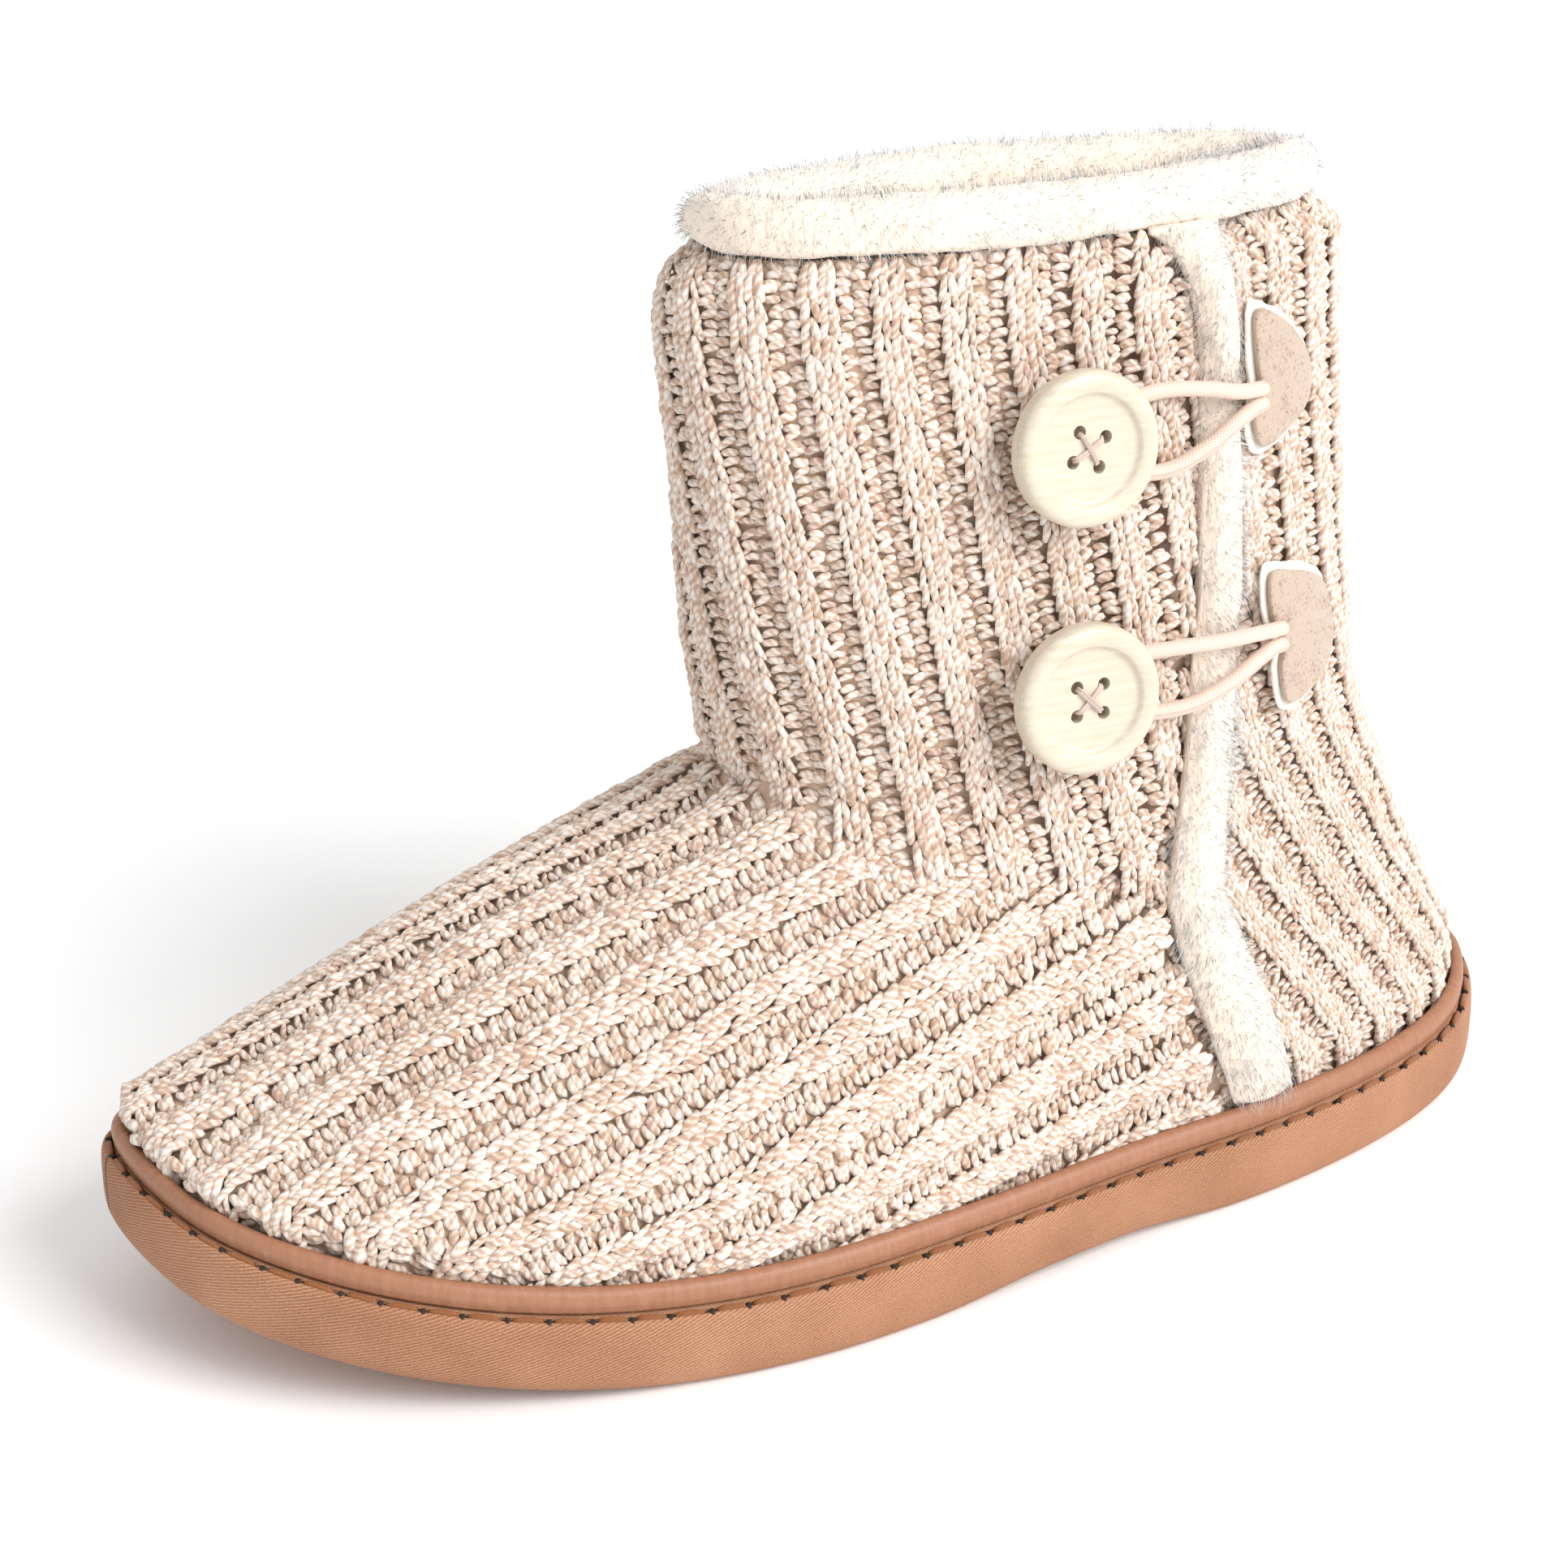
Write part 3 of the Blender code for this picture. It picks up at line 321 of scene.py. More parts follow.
def upper_plain(turn, z):
    """The knit's face: the sole's outline scaled, blended to an oval and lifted at the toe."""
    front, back, width, oval, depth = (
        through(SECTIONS[:, 0], SECTIONS[:, k], share_of(z)) for k in range(1, 6))
    base = outline(turn, UPPER_INSET)
    along = (base[..., 1] + REACH) / (2 * REACH)
    round_x = np.sin(2 * math.pi * turn)
    round_x = np.sign(round_x) * np.abs(round_x) ** (2 / OVAL_POWER) * depth * COLLAR_WIDTH / 2
    x = (1 - oval) * width * base[..., 0] + oval * round_x
    y = REACH * (front + (back - front) * along)
    follows = np.clip(1 - (z - BASE) / SPRING_FADE, 0, 1)
    return np.stack(np.broadcast_arrays(x, y, z + follows * lift(y)), -1)


def turn_at(y, z):
    """The turn, on the outer side, where the upper at height z reaches y."""
    turns = np.linspace(0, 0.5, 240)
    base = (outline(turns, UPPER_INSET)[:, 1] + REACH) / (2 * REACH)
    front, back = (through(SECTIONS[:, 0], SECTIONS[:, k], share_of(z)) for k in (1, 2))
    return np.interp((np.asarray(y) / REACH - front) / (back - front), base, turns)


def lap_edge(z):
    return HALF * through(LAP[:, 0], LAP[:, 1], share_of(z))


def lap_rise(y, z):
    """How far the front panel stands out: it fades forwards from the lap and down at the welt."""
    ahead = lap_edge(z) - y
    rise = LAP_STEP * (1 - smooth(ahead / LAP_REACH)) * smooth((z - WELT_TOP) / (2 * WELT_HEIGHT))
    return np.where(ahead >= -1e-7, rise, 0.0)


def corner_drop(y):
    """How far the front panel's top edge is rounded down at its corner: a quarter of an ellipse."""
    into = np.clip(1 - (lap_edge(COLLAR_HEIGHT) - y) / CORNER_WIDTH, 0, 1)
    return CORNER_HEIGHT * (1 - np.sqrt(1 - into**2 * 0.999))


def face_normal(turn, z):
    """Outward unit normal of the upper's face, from small steps round it and up."""
    small_turn, small_z = 4e-4, 3e-4
    around = upper_plain(turn + small_turn, z) - upper_plain(turn - small_turn, z)
    up = upper_plain(turn, z + small_z) - upper_plain(turn, z - small_z)
    return unit(np.cross(around, up))


def side_point(y, z, out=0.0):
    """A point over the outer side of the shaft, out metres off the back panel's face, and its normal."""
    y, z = np.broadcast_arrays(np.asarray(y, float), np.asarray(z, float))
    small = 5e-4
    here = upper_plain(turn_at(y, z), z)
    back = upper_plain(turn_at(y + small, z), z) - upper_plain(turn_at(y - small, z), z)
    up = upper_plain(turn_at(y, z + small), z + small) - upper_plain(turn_at(y, z - small), z - small)
    normal = unit(np.cross(back, up))
    return here + np.asarray(out)[..., None] * normal, normal


print("upper's half width at the ball", upper_plain(0.19, np.array(0.03)))

# %% [markdown]
# ## The knit
# The real upper is a 2 by 2 rib in chunky marl yarn: two raised columns of V-shaped stitches, then two
# sunk columns of small bumps. A bump map would stay flat at the outline and under the buttons, so each
# stitch is modelled: a V is two plump grains of yarn, and a purl stitch is a short arch. A stitch has
# only a few dozen faces, because there are thousands of them.
#
# The columns, called wales, follow lines on the upper's face. On the shaft they run down it and lean
# back a little; on the vamp they run from the toe to the ankle. Each panel gives every place of its
# face a wale number, and the lines where that number is constant are traced from it.

# %% Wale numbers of the three panels
WALE, ROW = 2.775 * MM, 2.93 * MM
FRONT_LEAN = np.array([          # height, distance of a sunk pair of wales from the shaft's front (mm)
    (60, 29.0), (70, 26.0), (79, 23.8), (84, 22.8), (90, 21.2), (99, 19.6), (108, 18.2), (125, 15.6),
    (141, 13.2), (157, 11.0), (165, 9.8), (168, 8.0), (172, 5.0),
])
BACK_LEAN = np.array([           # height, distance of a raised pair of wales from the heel (mm)
    (18, 16.0), (27.7, 18.7), (59, 26.5), (85, 32.0), (111, 35.3), (172, 33.0),
])
TURNS = np.linspace(-0.5, 0.5, 1201)
HEIGHTS = np.arange(BASE - 1.3 * MM, COLLAR_HEIGHT, 0.4 * MM)
FACE = upper_plain(TURNS[None, :], HEIGHTS[:, None])
steps = np.linalg.norm(np.diff(FACE, axis=1), axis=2)
ARC = np.concatenate([np.zeros((len(HEIGHTS), 1)), np.cumsum(steps, axis=1)], axis=1)
ARC -= ARC[:, [len(TURNS) // 2]]


# wale numbers on the vamp's outer side: a row for each height, a column for each turn
VAMP_TURNS = np.array([0, 0.035, 0.07, 0.11, 0.15, 0.19, 0.23, 0.27, 0.31, 0.36])
VAMP_HEIGHTS = np.array([14, 28, 42, 56, 70, 86]) * MM
VAMP_WALES = np.array([
    (-1.41, 3.37, 8.54, 15.56, 22.64, 27.56, 30.92, 33.80, 36.03, 38.32),
    (-1.38, 3.60, 8.59, 14.16, 18.87, 23.35, 26.66, 29.08, 31.25, 33.52),
    (-1.43, 3.85, 8.49, 12.55, 16.24, 20.12, 23.19, 24.88, 26.69, 28.61),
    (-1.40, 3.18, 6.93, 10.46, 13.72, 16.74, 19.26, 21.33, 22.35, 23.66),
    (-1.06, 3.22, 6.32, 9.12, 11.64, 14.09, 16.30, 18.00, 18.12, 18.80),
    (-1.05, 2.44, 4.99, 7.45, 9.65, 11.58, 13.08, 13.82, 14.12, 14.17),
])


def knot_shares(knots, at):
    """How much each knot's value counts at each place: the curve through one 1 and otherwise 0s."""
    return np.stack([through(knots, one, at) for one in np.eye(len(knots))], -1)


def vamp_wale(turns, heights):
    """Wale numbers on a grid of heights and turns, from the table, mirrored about the ridge."""
    away = np.abs(turns)
    across = knot_shares(VAMP_TURNS, away)
    outer = knot_shares(VAMP_HEIGHTS, heights) @ VAMP_WALES @ across.T
    outer += 60 * np.maximum(away - VAMP_TURNS[-1], 0)
    middle = outer[:, [np.argmin(away)]]
    return np.where(turns < 0, 2 * middle - outer, outer)


def seam_z(turn, z):
    """World height of the vamp's seam over a turn, from the share of the way to the lap."""
    edge = turn_at(lap_edge(z), z)
    return level(through(SEAM[:, 0], SEAM[:, 1], np.clip(np.abs(turn) / edge, 0, 1)))


def flared_wales(face, heights):
    """Wale numbers where the shaft flares out to its seam: each wale goes on down from FLARE_TOP.

    A place is moved forwards by the lean, and takes the number of the nearest place, in plan, on the
    level section at FLARE_TOP.
    """
    row = np.searchsorted(HEIGHTS, FLARE_TOP)
    rim = FACE[row, ::4, :2]
    number = (ARC[row, ::4] - np.interp(FLARE_TOP / MM, FRONT_LEAN[:, 0], FRONT_LEAN[:, 1]) * MM) / WALE
    made = np.empty(face.shape[:2])
    for k, height in enumerate(heights):
        plan = face[k, :, :2] - np.stack([0, FLARE_LEAN * (FLARE_TOP - height)])
        ahead = rim[1:] - rim[:-1]
        part = ((plan[:, None] - rim[None, :-1]) * ahead).sum(-1) / (ahead**2).sum(-1)
        near = rim[:-1] + np.clip(part, 0, 1)[..., None] * ahead
        pick = np.argmin(((plan[:, None] - near) ** 2).sum(-1), axis=1)
        along = np.take_along_axis(np.clip(part, 0, 1), pick[:, None], 1)[:, 0]
        made[k] = number[pick] * (1 - along) + number[pick + 1] * along
    middle = face.shape[1] // 2
    made[:, middle:] = np.maximum.accumulate(made[:, middle:], axis=1)
    made[:, :middle] = np.minimum.accumulate(made[:, middle - 1::-1], axis=1)[:, ::-1]
    return made + np.linspace(-0.5, 0.5, face.shape[1]) * 1e-3


FLARE_TOP, FLARE_LEAN = 90 * MM, 0.24
T, Z = np.meshgrid(TURNS, HEIGHTS)
LAP_TURN = turn_at(lap_edge(HEIGHTS), HEIGHTS)[:, None]
ABOVE_SEAM = Z - seam_z(T, Z)
lean = np.interp(Z / MM, FRONT_LEAN[:, 0], FRONT_LEAN[:, 1]) * MM
FRONT_U = (ARC - lean) / WALE
below = HEIGHTS < FLARE_TOP
FRONT_U[below] = flared_wales(FACE[below], HEIGHTS[below])
FRONT_IN = (np.abs(T) < LAP_TURN) & (ABOVE_SEAM > -1 * MM)
FRONT_IN &= (T < 0) | (Z < COLLAR_HEIGHT - corner_drop(FACE[..., 1]) - 0.4 * MM)
VAMP_U = vamp_wale(TURNS, HEIGHTS)
VAMP_IN = (np.abs(T) < LAP_TURN) & (ABOVE_SEAM < 1 * MM)
back_turns = TURNS + 0.5
half = len(TURNS) // 2
outer_heel, inner_heel = ARC[:, [-1]], ARC[:, [0]]
BACK_ARC = np.concatenate([ARC[:, half:-1] - outer_heel, ARC[:, :half + 1] - inner_heel], axis=1)
BACK_FACE = np.concatenate([FACE[:, half:-1], FACE[:, :half + 1]], axis=1)
back_lean = np.interp(HEIGHTS / MM, BACK_LEAN[:, 0], BACK_LEAN[:, 1])[:, None] * MM
BACK_U = (BACK_ARC + back_lean) / WALE + 2
BACK_T = np.broadcast_to(back_turns, BACK_U.shape)
BACK_IN = (BACK_T > LAP_TURN) & (BACK_T < 1 - LAP_TURN)


# %% Trace the wales and lay out the stitches
def trace(number, field, turns, inside, face, start):
    """The line of a wale: at each height, the turn where field equals number, kept where it is inside.

    Gives points, turns and heights from the top down, and the arc length from where start is zero.
    """
    rows = np.arange(len(HEIGHTS))
    at = np.array([np.interp(number, field[r], turns, left=np.nan, right=np.nan) for r in rows])
    ok = ~np.isnan(at)
    if ok.sum() < 3:
        return None
    column = np.interp(at[ok], turns, np.arange(len(turns)))
    low = np.clip(column.astype(int), 0, len(turns) - 2)
    part = (column - low)[:, None]
    points = face[rows[ok], low] * (1 - part) + face[rows[ok], low + 1] * part
    keep = inside[rows[ok], np.round(column).astype(int)]
    gap = np.linalg.norm(np.diff(points, axis=0), axis=1)
    arc = np.concatenate([[0], np.cumsum(gap)])
    arc = arc - np.interp(0.0, *start(points, HEIGHTS[ok], arc))
    return points, at[ok], HEIGHTS[ok], arc, keep


def stitch_places(wales, field, turns, inside, face, start, sign):
    """Centres, directions and numbers of all stitches of a panel.

    Each wale line is walked in steps of one row. Along is the line's direction and out is the face's
    normal; across is the third direction, scaled to the distance of the next wale.
    """
    found = []
    for wale in wales:
        line = trace(wale + 0.5, field, turns, inside, face, start)
        if line is None or line[-1].sum() < 3:
            continue
        points, at, z, arc, keep = line
        rows = np.arange(math.ceil(arc.min() / ROW), math.floor(arc.max() / ROW)) + 0.5
        place = rows * ROW
        place = place[np.interp(place, arc, keep.astype(float)) > 0.5]
        if not len(place):
            continue
        centre, ahead, behind = (
            np.stack([np.interp(place + shift, arc, points[:, k]) for k in range(3)], -1)
            for shift in (0, ROW / 3, -ROW / 3))
        along = sign * (ahead - behind)
        found.append((centre, along, np.interp(place, arc, at), np.interp(place, arc, z),
                      np.full(len(place), wale)))
    centre, along, turn, z, wale = (np.concatenate(parts) for parts in zip(*found))
    out = face_normal(turn, z)
    along = unit(along - (along * out).sum(-1, keepdims=True) * out)
    across = np.cross(along, out)
    width = local_width(turn, z, across, field, turns)
    return dict(centre=centre, along=along, across=across, out=out, turn=turn, z=z, wale=wale,
                width=width)


def local_width(turn, z, across, field, turns):
    """Distance to the next wale: one over the slope of the wale number along across."""
    du_turn = np.gradient(field, turns, axis=1)
    du_z = np.gradient(field, HEIGHTS, axis=0)
    column = np.round(np.interp(turn, turns, np.arange(len(turns)))).astype(int)
    row = np.round(np.interp(z, HEIGHTS, np.arange(len(HEIGHTS)))).astype(int)
    gradient = np.stack([du_turn[row, column], du_z[row, column]], -1)
    small = 1e-4
    by_turn = (upper_plain(turn + small, z) - upper_plain(turn - small, z)) / (2 * small)
    by_z = (upper_plain(turn, z + small) - upper_plain(turn, z - small)) / (2 * small)
    e, f, g = ((a * b).sum(-1) for a, b in ((by_turn, by_turn), (by_turn, by_z), (by_z, by_z)))
    right = np.stack([(across * by_turn).sum(-1), (across * by_z).sum(-1)], -1)
    step_turn = (g * right[:, 0] - f * right[:, 1]) / (e * g - f * f)
    step_z = (e * right[:, 1] - f * right[:, 0]) / (e * g - f * f)
    slope = gradient[:, 0] * step_turn + gradient[:, 1] * step_z
    return np.sign(slope) / np.maximum(np.abs(slope), 1 / (5 * MM))


def from_top(points, z, arc):
    """Rows of the shaft are counted from the collar down."""
    return -(COLLAR_HEIGHT - z), arc


def from_ball(points, z, arc):
    """Rows of the vamp are counted from a line across it, 40 mm ahead of the middle."""
    return points[:, 1] + 40 * MM, arc


# %% Heights of the knit over the solid's face
RIB_SINK, WELT_TUCK, SEAM_TUCK, EDGE_TUCK, RIM_TUCK = 1.75 * MM, 0.3 * MM, 1.7 * MM, 1.2 * MM, 1.0 * MM
DEEPEST = 2.0 * MM                # no stitch sinks under the backing
SHOULDER_START, SHOULDER_WIDTH = 0.62, 0.85      # wales from a raised pair's middle, and wales


def rib_height(number):
    """0 on a raised pair of wales and -RIB_SINK on a sunk pair, with a rounded shoulder between."""
    away = np.abs(np.mod(number, 4) - 2)
    share = np.clip((away - SHOULDER_START) / SHOULDER_WIDTH, 0, 1)
    return -RIB_SINK * (0.5 - 0.5 * np.cos(math.pi * share))


def panel_offset(p, front):
    """Height of the panel itself: the lap's step, and tucks at the welt, seam, lap and collar."""
    height = -WELT_TUCK * (1 - smooth((p["z"] - WELT_TOP + 1 * MM) / (3 * MM)))
    height -= RIM_TUCK * smooth((p["z"] - COLLAR_HEIGHT + 5 * MM) / (5 * MM))
    if front:
        y = p["centre"][:, 1]
        outer = p["turn"] > 0
        height += np.where(outer, lap_rise(y, p["z"]), 0.0)
        height -= np.where(outer, EDGE_TUCK * np.exp(-((lap_edge(p["z"]) - y) / (1.6 * MM)) ** 2), 0.0)
        height -= SEAM_TUCK * np.exp(-((p["z"] - seam_z(p["turn"], p["z"])) / (1.5 * MM)) ** 2)
    return height


# %% Grains of yarn
SIDES = 5
RING_ANGLES = -math.pi / 2 + (np.arange(SIDES) + 0.5) * 2 * math.pi / SIDES


def grains(p, lift_by, across, along, height, radius, twist=2.1):
    """Closed plump grains of yarn, one for each stitch of p.

    across (in wales), along (in rows), height and radius (in metres) give the points of the grain's
    middle line, the same number for each; the first and the last are its pointed ends. Rings of points
    stand square to that line. Gives points, triangles, uv (mm along and round) and the ply's phase.
    """
    n, k = across.shape
    number = p["wale"][:, None] + 0.5 + across
    up = np.maximum(rib_height(number) + lift_by[:, None], -DEEPEST) + height
    line = (
        p["centre"][:, None] + p["across"][:, None] * (p["width"][:, None] * across)[..., None]
        + p["along"][:, None] * (ROW * along)[..., None] + p["out"][:, None] * up[..., None]
    )
    forward = unit(np.gradient(line, axis=1))
    sideways = unit(np.cross(forward, p["out"][:, None]))
    above = np.cross(sideways, forward)
    radius = radius * np.clip(np.abs(p["width"]) / WALE, 0.85, 1.25)[:, None]
    round_line = circle(sideways[:, 1:-1], above[:, 1:-1], RING_ANGLES)
    rings = line[:, 1:-1, None] + radius[:, 1:-1, None, None] * round_line
    points = np.concatenate([rings.reshape(n, -1, 3), line[:, [0, -1]]], axis=1)
    steps = np.linalg.norm(np.diff(line, axis=1), axis=2)
    arc = np.concatenate([np.zeros((n, 1)), np.cumsum(steps, axis=1)], axis=1) / MM
    shift = rng.uniform(0, 50, (n, 1))
    uv_ring = np.stack(np.broadcast_arrays(
        (arc + shift)[:, 1:-1, None], 3.2 * np.arange(SIDES) / SIDES + shift[..., None]), -1)
    uv_ends = np.stack([(arc + shift)[:, [0, -1]], shift + 1.6 + np.zeros((n, 2))], -1)
    uv = np.concatenate([uv_ring.reshape(n, -1, 2), uv_ends], axis=1)
    phase = RING_ANGLES + twist * (arc + shift)[:, 1:-1, None]
    ply = np.concatenate([np.sin(phase).reshape(n, -1), np.zeros((n, 2))], axis=1)
    ends = (k - 2) * SIDES
    faces = repeated(capped(k - 2, SIDES, ends, ends + 1)[:, ::-1], n, ends + 2)
    return points.reshape(-1, 3), faces, uv.reshape(-1, 2), ply.ravel()


def some(p, keep):
    return {name: values[keep] for name, values in p.items()}


def knit(p, front):
    """The grains of a panel: two legs to a raised stitch; one arch and a smaller one to a sunk stitch."""
    def spread(size):
        """A seeded normal random number for each stitch."""
        return size * rng.normal(size=(n, 1))

    parts = []
    raised = np.isin(np.mod(p["wale"], 4), (1, 2))
    q = some(p, raised)
    n = len(q["wale"])
    s = np.array([0, 0.13, 0.38, 0.66, 0.89, 1.0])[None]
    for side in (-1, 1):
        wide = 1 + spread(0.12)
        tilt = spread(0.05)
        across = side * (0.05 + 0.37 * s**0.9) + tilt * (s - 0.4) + spread(0.03)
        along = 0.80 - 1.62 * s + spread(0.07)
        height = (-0.90 + (0.72 + spread(0.08)) * np.sin(math.pi * s) ** 0.75) * MM
        radius = 0.76 * MM * wide * np.array([0, 0.72, 0.98, 1.0, 0.78, 0])[None]
        parts.append(grains(q, panel_offset(q, front), across, along, height, radius))
    q = some(p, ~raised)
    n = len(q["wale"])
    s = np.array([0, 0.2, 0.5, 0.8, 1.0])[None]
    stagger = np.where(np.mod(q["wale"], 4) == 3, -0.14, 0.14)[:, None]
    for low in (False, True):
        lean_over = (-0.20 if low else 0.26) + spread(0.12)
        across = (s - 0.5) * (1.08 if low else 1.20) + spread(0.08)
        along = (0.50 if low else 0.0) + stagger + lean_over * (s - 0.5) + spread(0.07)
        along = along + (0.10 if low else 0.16) * np.sin(math.pi * s)
        height = (-0.38 - 0.12 * low + (0.62 + spread(0.12)) * np.sin(math.pi * s)) * MM
        wide = 1 + spread(0.13)
        radius = 0.77 * MM * wide * np.array([0, 0.86, 1.0, 0.86, 0])[None]
        parts.append(grains(q, panel_offset(q, front), across, along, height, radius))
    return joined(parts)


# %% [markdown]
# The yarn is a marl: one ply of undyed cream wool and one of tan are twisted together, so each grain
# shows slanting patches of both. The ply's phase comes with the mesh, fine streaks of noise along the
# grain stand for the fibres, and a weak sheen gives the fuzz its light edge.

# %% Yarn material
def yarn_material():
    made, tree, shader = new_material("marl_wool_yarn", 0.92, Sheen_Weight=0.35, Sheen_Roughness=0.6)
    shader.inputs["Sheen Tint"].default_value = linear("FFF4E6")
    uv = node(tree, "ShaderNodeUVMap", uv_map="Pattern").outputs["UV"]
    spots = []
    for scale, texture in (((0.5, 4.5, 1.0), {"Scale": 1.0, "Detail": 3.0, "Roughness": 0.6}),
                           ((0.30, 0.5, 1.0), {"Scale": 1.0, "Detail": 2.0})):
        place = node(tree, "ShaderNodeMapping", {"Vector": uv, "Scale": scale}).outputs["Vector"]
        spots.append(node(tree, "ShaderNodeTexNoise", {"Vector": place, **texture}).outputs["Fac"])
    fibre, patches = spots
    plies = node(tree, "ShaderNodeTexWave", {"Vector": uv, "Scale": 0.42, "Distortion": 2.2, "Detail": 2.0,
                 "Detail Scale": 0.8}, bands_direction="DIAGONAL").outputs["Fac"]
    ply = node(tree, "ShaderNodeAttribute", attribute_name="tone").outputs["Fac"]
    factor = -0.15
    for pattern, share in ((plies, 0.30), (fibre, 0.6), (patches, 1.1)):
        factor = node(tree, "ShaderNodeMath", {0: pattern, 1: share, 2: factor},
                      operation="MULTIPLY_ADD").outputs[0]
    factor = node(tree, "ShaderNodeMath", {0: factor, 1: -0.35}, operation="ADD", use_clamp=True).outputs[0]
    node(tree, "ShaderNodeValToRGB", {"Fac": factor},
         to=shader.inputs["Base Color"],
         stops=[(0.22, "BB9B86"), (0.38, "D2B49F"), (0.52, "E1CFC0"), (0.68, "EFE6DE")])
    groove = node(tree, "ShaderNodeMath", {0: ply, 1: 0.5, 2: fibre}, operation="MULTIPLY_ADD")
    node(tree, "ShaderNodeBump", {"Height": groove.outputs[0], "Distance": 0.25 * MM, "Strength": 0.8},
         to=shader.inputs["Normal"])
    return made


YARN = yarn_material()

# %% Knit the three panels
wales = range(-60, 120)
vamp = stitch_places(wales, VAMP_U, TURNS, VAMP_IN, FACE, from_ball, -1)
shaft = stitch_places(wales, FRONT_U, TURNS, FRONT_IN, FACE, from_top, 1)
heel = stitch_places(wales, BACK_U, back_turns, BACK_IN, BACK_FACE, from_top, 1)
outer_half = heel["turn"] < 0.5
for name, places, front in (("knit_vamp", vamp, True), ("knit_shaft", shaft, True),
                            ("knit_heel_outer", some(heel, outer_half), False),
                            ("knit_heel_inner", some(heel, ~outer_half), False)):
    widths = np.percentile(places["width"], (5, 50, 95)) / MM
    print(name, len(places["wale"]), "stitches, wale width", np.round(widths, 2))
    points, faces, uv, ply = knit(places, front)
    new_piece(name, points, faces, YARN, ("upper",), uv=uv, tone=ply)

# %% [markdown]
# ## Behind the knit
# Through the gaps of a real knit shows its backing cloth, and inside the shaft is a fleece lining. Both
# are thin closed shells that follow the upper's face from the inside.


# %% Shell helper
def shell_points(turns, rows, depth):
    """Points inside the upper's face at given depths, row by row round it."""
    turn, z = np.meshgrid(turns, rows)
    normal = face_normal(np.mod(turn, 1.0), z)
    return upper_plain(np.mod(turn, 1.0), z) - normal * np.broadcast_to(depth, turn.shape)[..., None]


def cloth_shell(name, depths, rows, material, ripple=0.0, replaced=()):
    """A closed tube of cloth: an outer and an inner wall joined at the top and at the foot.

    The inner wall swells and dips by ripple: sin(46 turns + sin(900 z)) sin(700 z).
    """
    columns = 360
    turns = np.arange(columns) / columns
    down = rows[::-1, None]
    wave = np.sin(turns * 2 * math.pi * 46 + np.sin(down * 900)) * np.sin(down * 700)
    outer = shell_points(turns, rows, depths[0])
    inner = shell_points(turns, rows[::-1], depths[1] + ripple * wave)
    points = np.concatenate([outer, inner]).reshape(-1, 3)
    faces = grid_faces(2 * len(rows), columns, close_rows=True, close_columns=True)
    return new_piece(name, points, faces, material, replaced)


# %% Backing and lining
def cloth_material(name, low, high, grain, depth):
    """Matt cloth: two tones in soft noise of the given grain size, and the same noise as bump."""
    made, tree, shader = new_material(name, 0.95, Sheen_Weight=0.3)
    place = node(tree, "ShaderNodeTexCoord").outputs["Object"]
    soft = node(tree, "ShaderNodeTexNoise",
                {"Vector": place, "Scale": 1 / grain, "Detail": 6.0, "Roughness": 0.65})
    node(tree, "ShaderNodeValToRGB", {"Fac": soft.outputs["Fac"]},
         to=shader.inputs["Base Color"], stops=[(0.3, low), (0.7, high)])
    node(tree, "ShaderNodeBump", {"Height": soft.outputs["Fac"], "Distance": depth},
         to=shader.inputs["Normal"])
    return made


BACKING = cloth_material("brown_backing_cloth", "BFA28B", "D6BBA5", 1.5 * MM, 0.4 * MM)
FLEECE = cloth_material("cream_fleece", "F1D9BE", "FFF6EA", 3.0 * MM, 1.6 * MM)
BACKING_DEPTHS, LINING_DEPTHS = (2.1 * MM, 2.6 * MM), (2.65 * MM, 4.6 * MM)
shell_rows = np.concatenate([
    np.linspace(BASE, level(0.5), 90), np.linspace(level(0.5), COLLAR_HEIGHT, 40)[1:]])
cloth_shell("knit_backing", BACKING_DEPTHS, shell_rows, BACKING, replaced=("upper",))
cloth_shell("lining", LINING_DEPTHS, shell_rows[6:-2], FLEECE, ripple=0.35 * MM)

# %% [markdown]
# ## Plush
# The plush is a soft, deep pile. It is a rounded under-layer covered with thousands of thin pointed
# hairs, laid in leaning tufts: nearby hairs share a direction, so the pile breaks into soft locks.


# %% Hairs
HAIR_POINTS = 7                   # two rings of three points and a tip


def hairs(roots, normals, length, width, lean, curl):
    """Thin closed three-sided hairs: each rises along its normal and bends over towards lean.

    The middle line is root + length (s normal + s^2 (lean + curl)); two rings narrow to a point.
    """
    n = len(roots)
    s = np.array([0.0, 0.55, 1.0])
    length = length[:, None, None]
    line = roots[:, None] + length * (
        s[None, :, None] * normals[:, None] + (s**2)[None, :, None] * (lean + curl)[:, None]
    )
    side = np.cross(normals, lean + 1e-6)
    side /= np.linalg.norm(side, axis=-1, keepdims=True) + 1e-12
    front = np.cross(normals, side)
    angles = np.arange(3) * 2 * math.pi / 3
    taper = np.array([1.0, 0.7])[None, :, None, None] * width[:, None, None, None]
    rings = line[:, :2, None] + taper * circle(side[:, None], front[:, None], angles)
    points = np.concatenate([rings.reshape(n, 6, 3), line[:, 2:]], axis=1)
    faces = [(0, 2, 1)]
    for i in range(3):
        j = (i + 1) % 3
        faces += [(i, j, 3 + j), (i, 3 + j, 3 + i), (3 + i, 3 + j, 6)]
    # tone rises from root to tip; the warmer colours low down are painted shade deep in the pile
    tone = np.repeat(rng.uniform(0, 1, n), HAIR_POINTS) * 0.3 + np.tile([0.3] * 3 + [0.5] * 3 + [0.7], n)
    return points.reshape(-1, 3), repeated(np.array(faces), n, HAIR_POINTS), tone


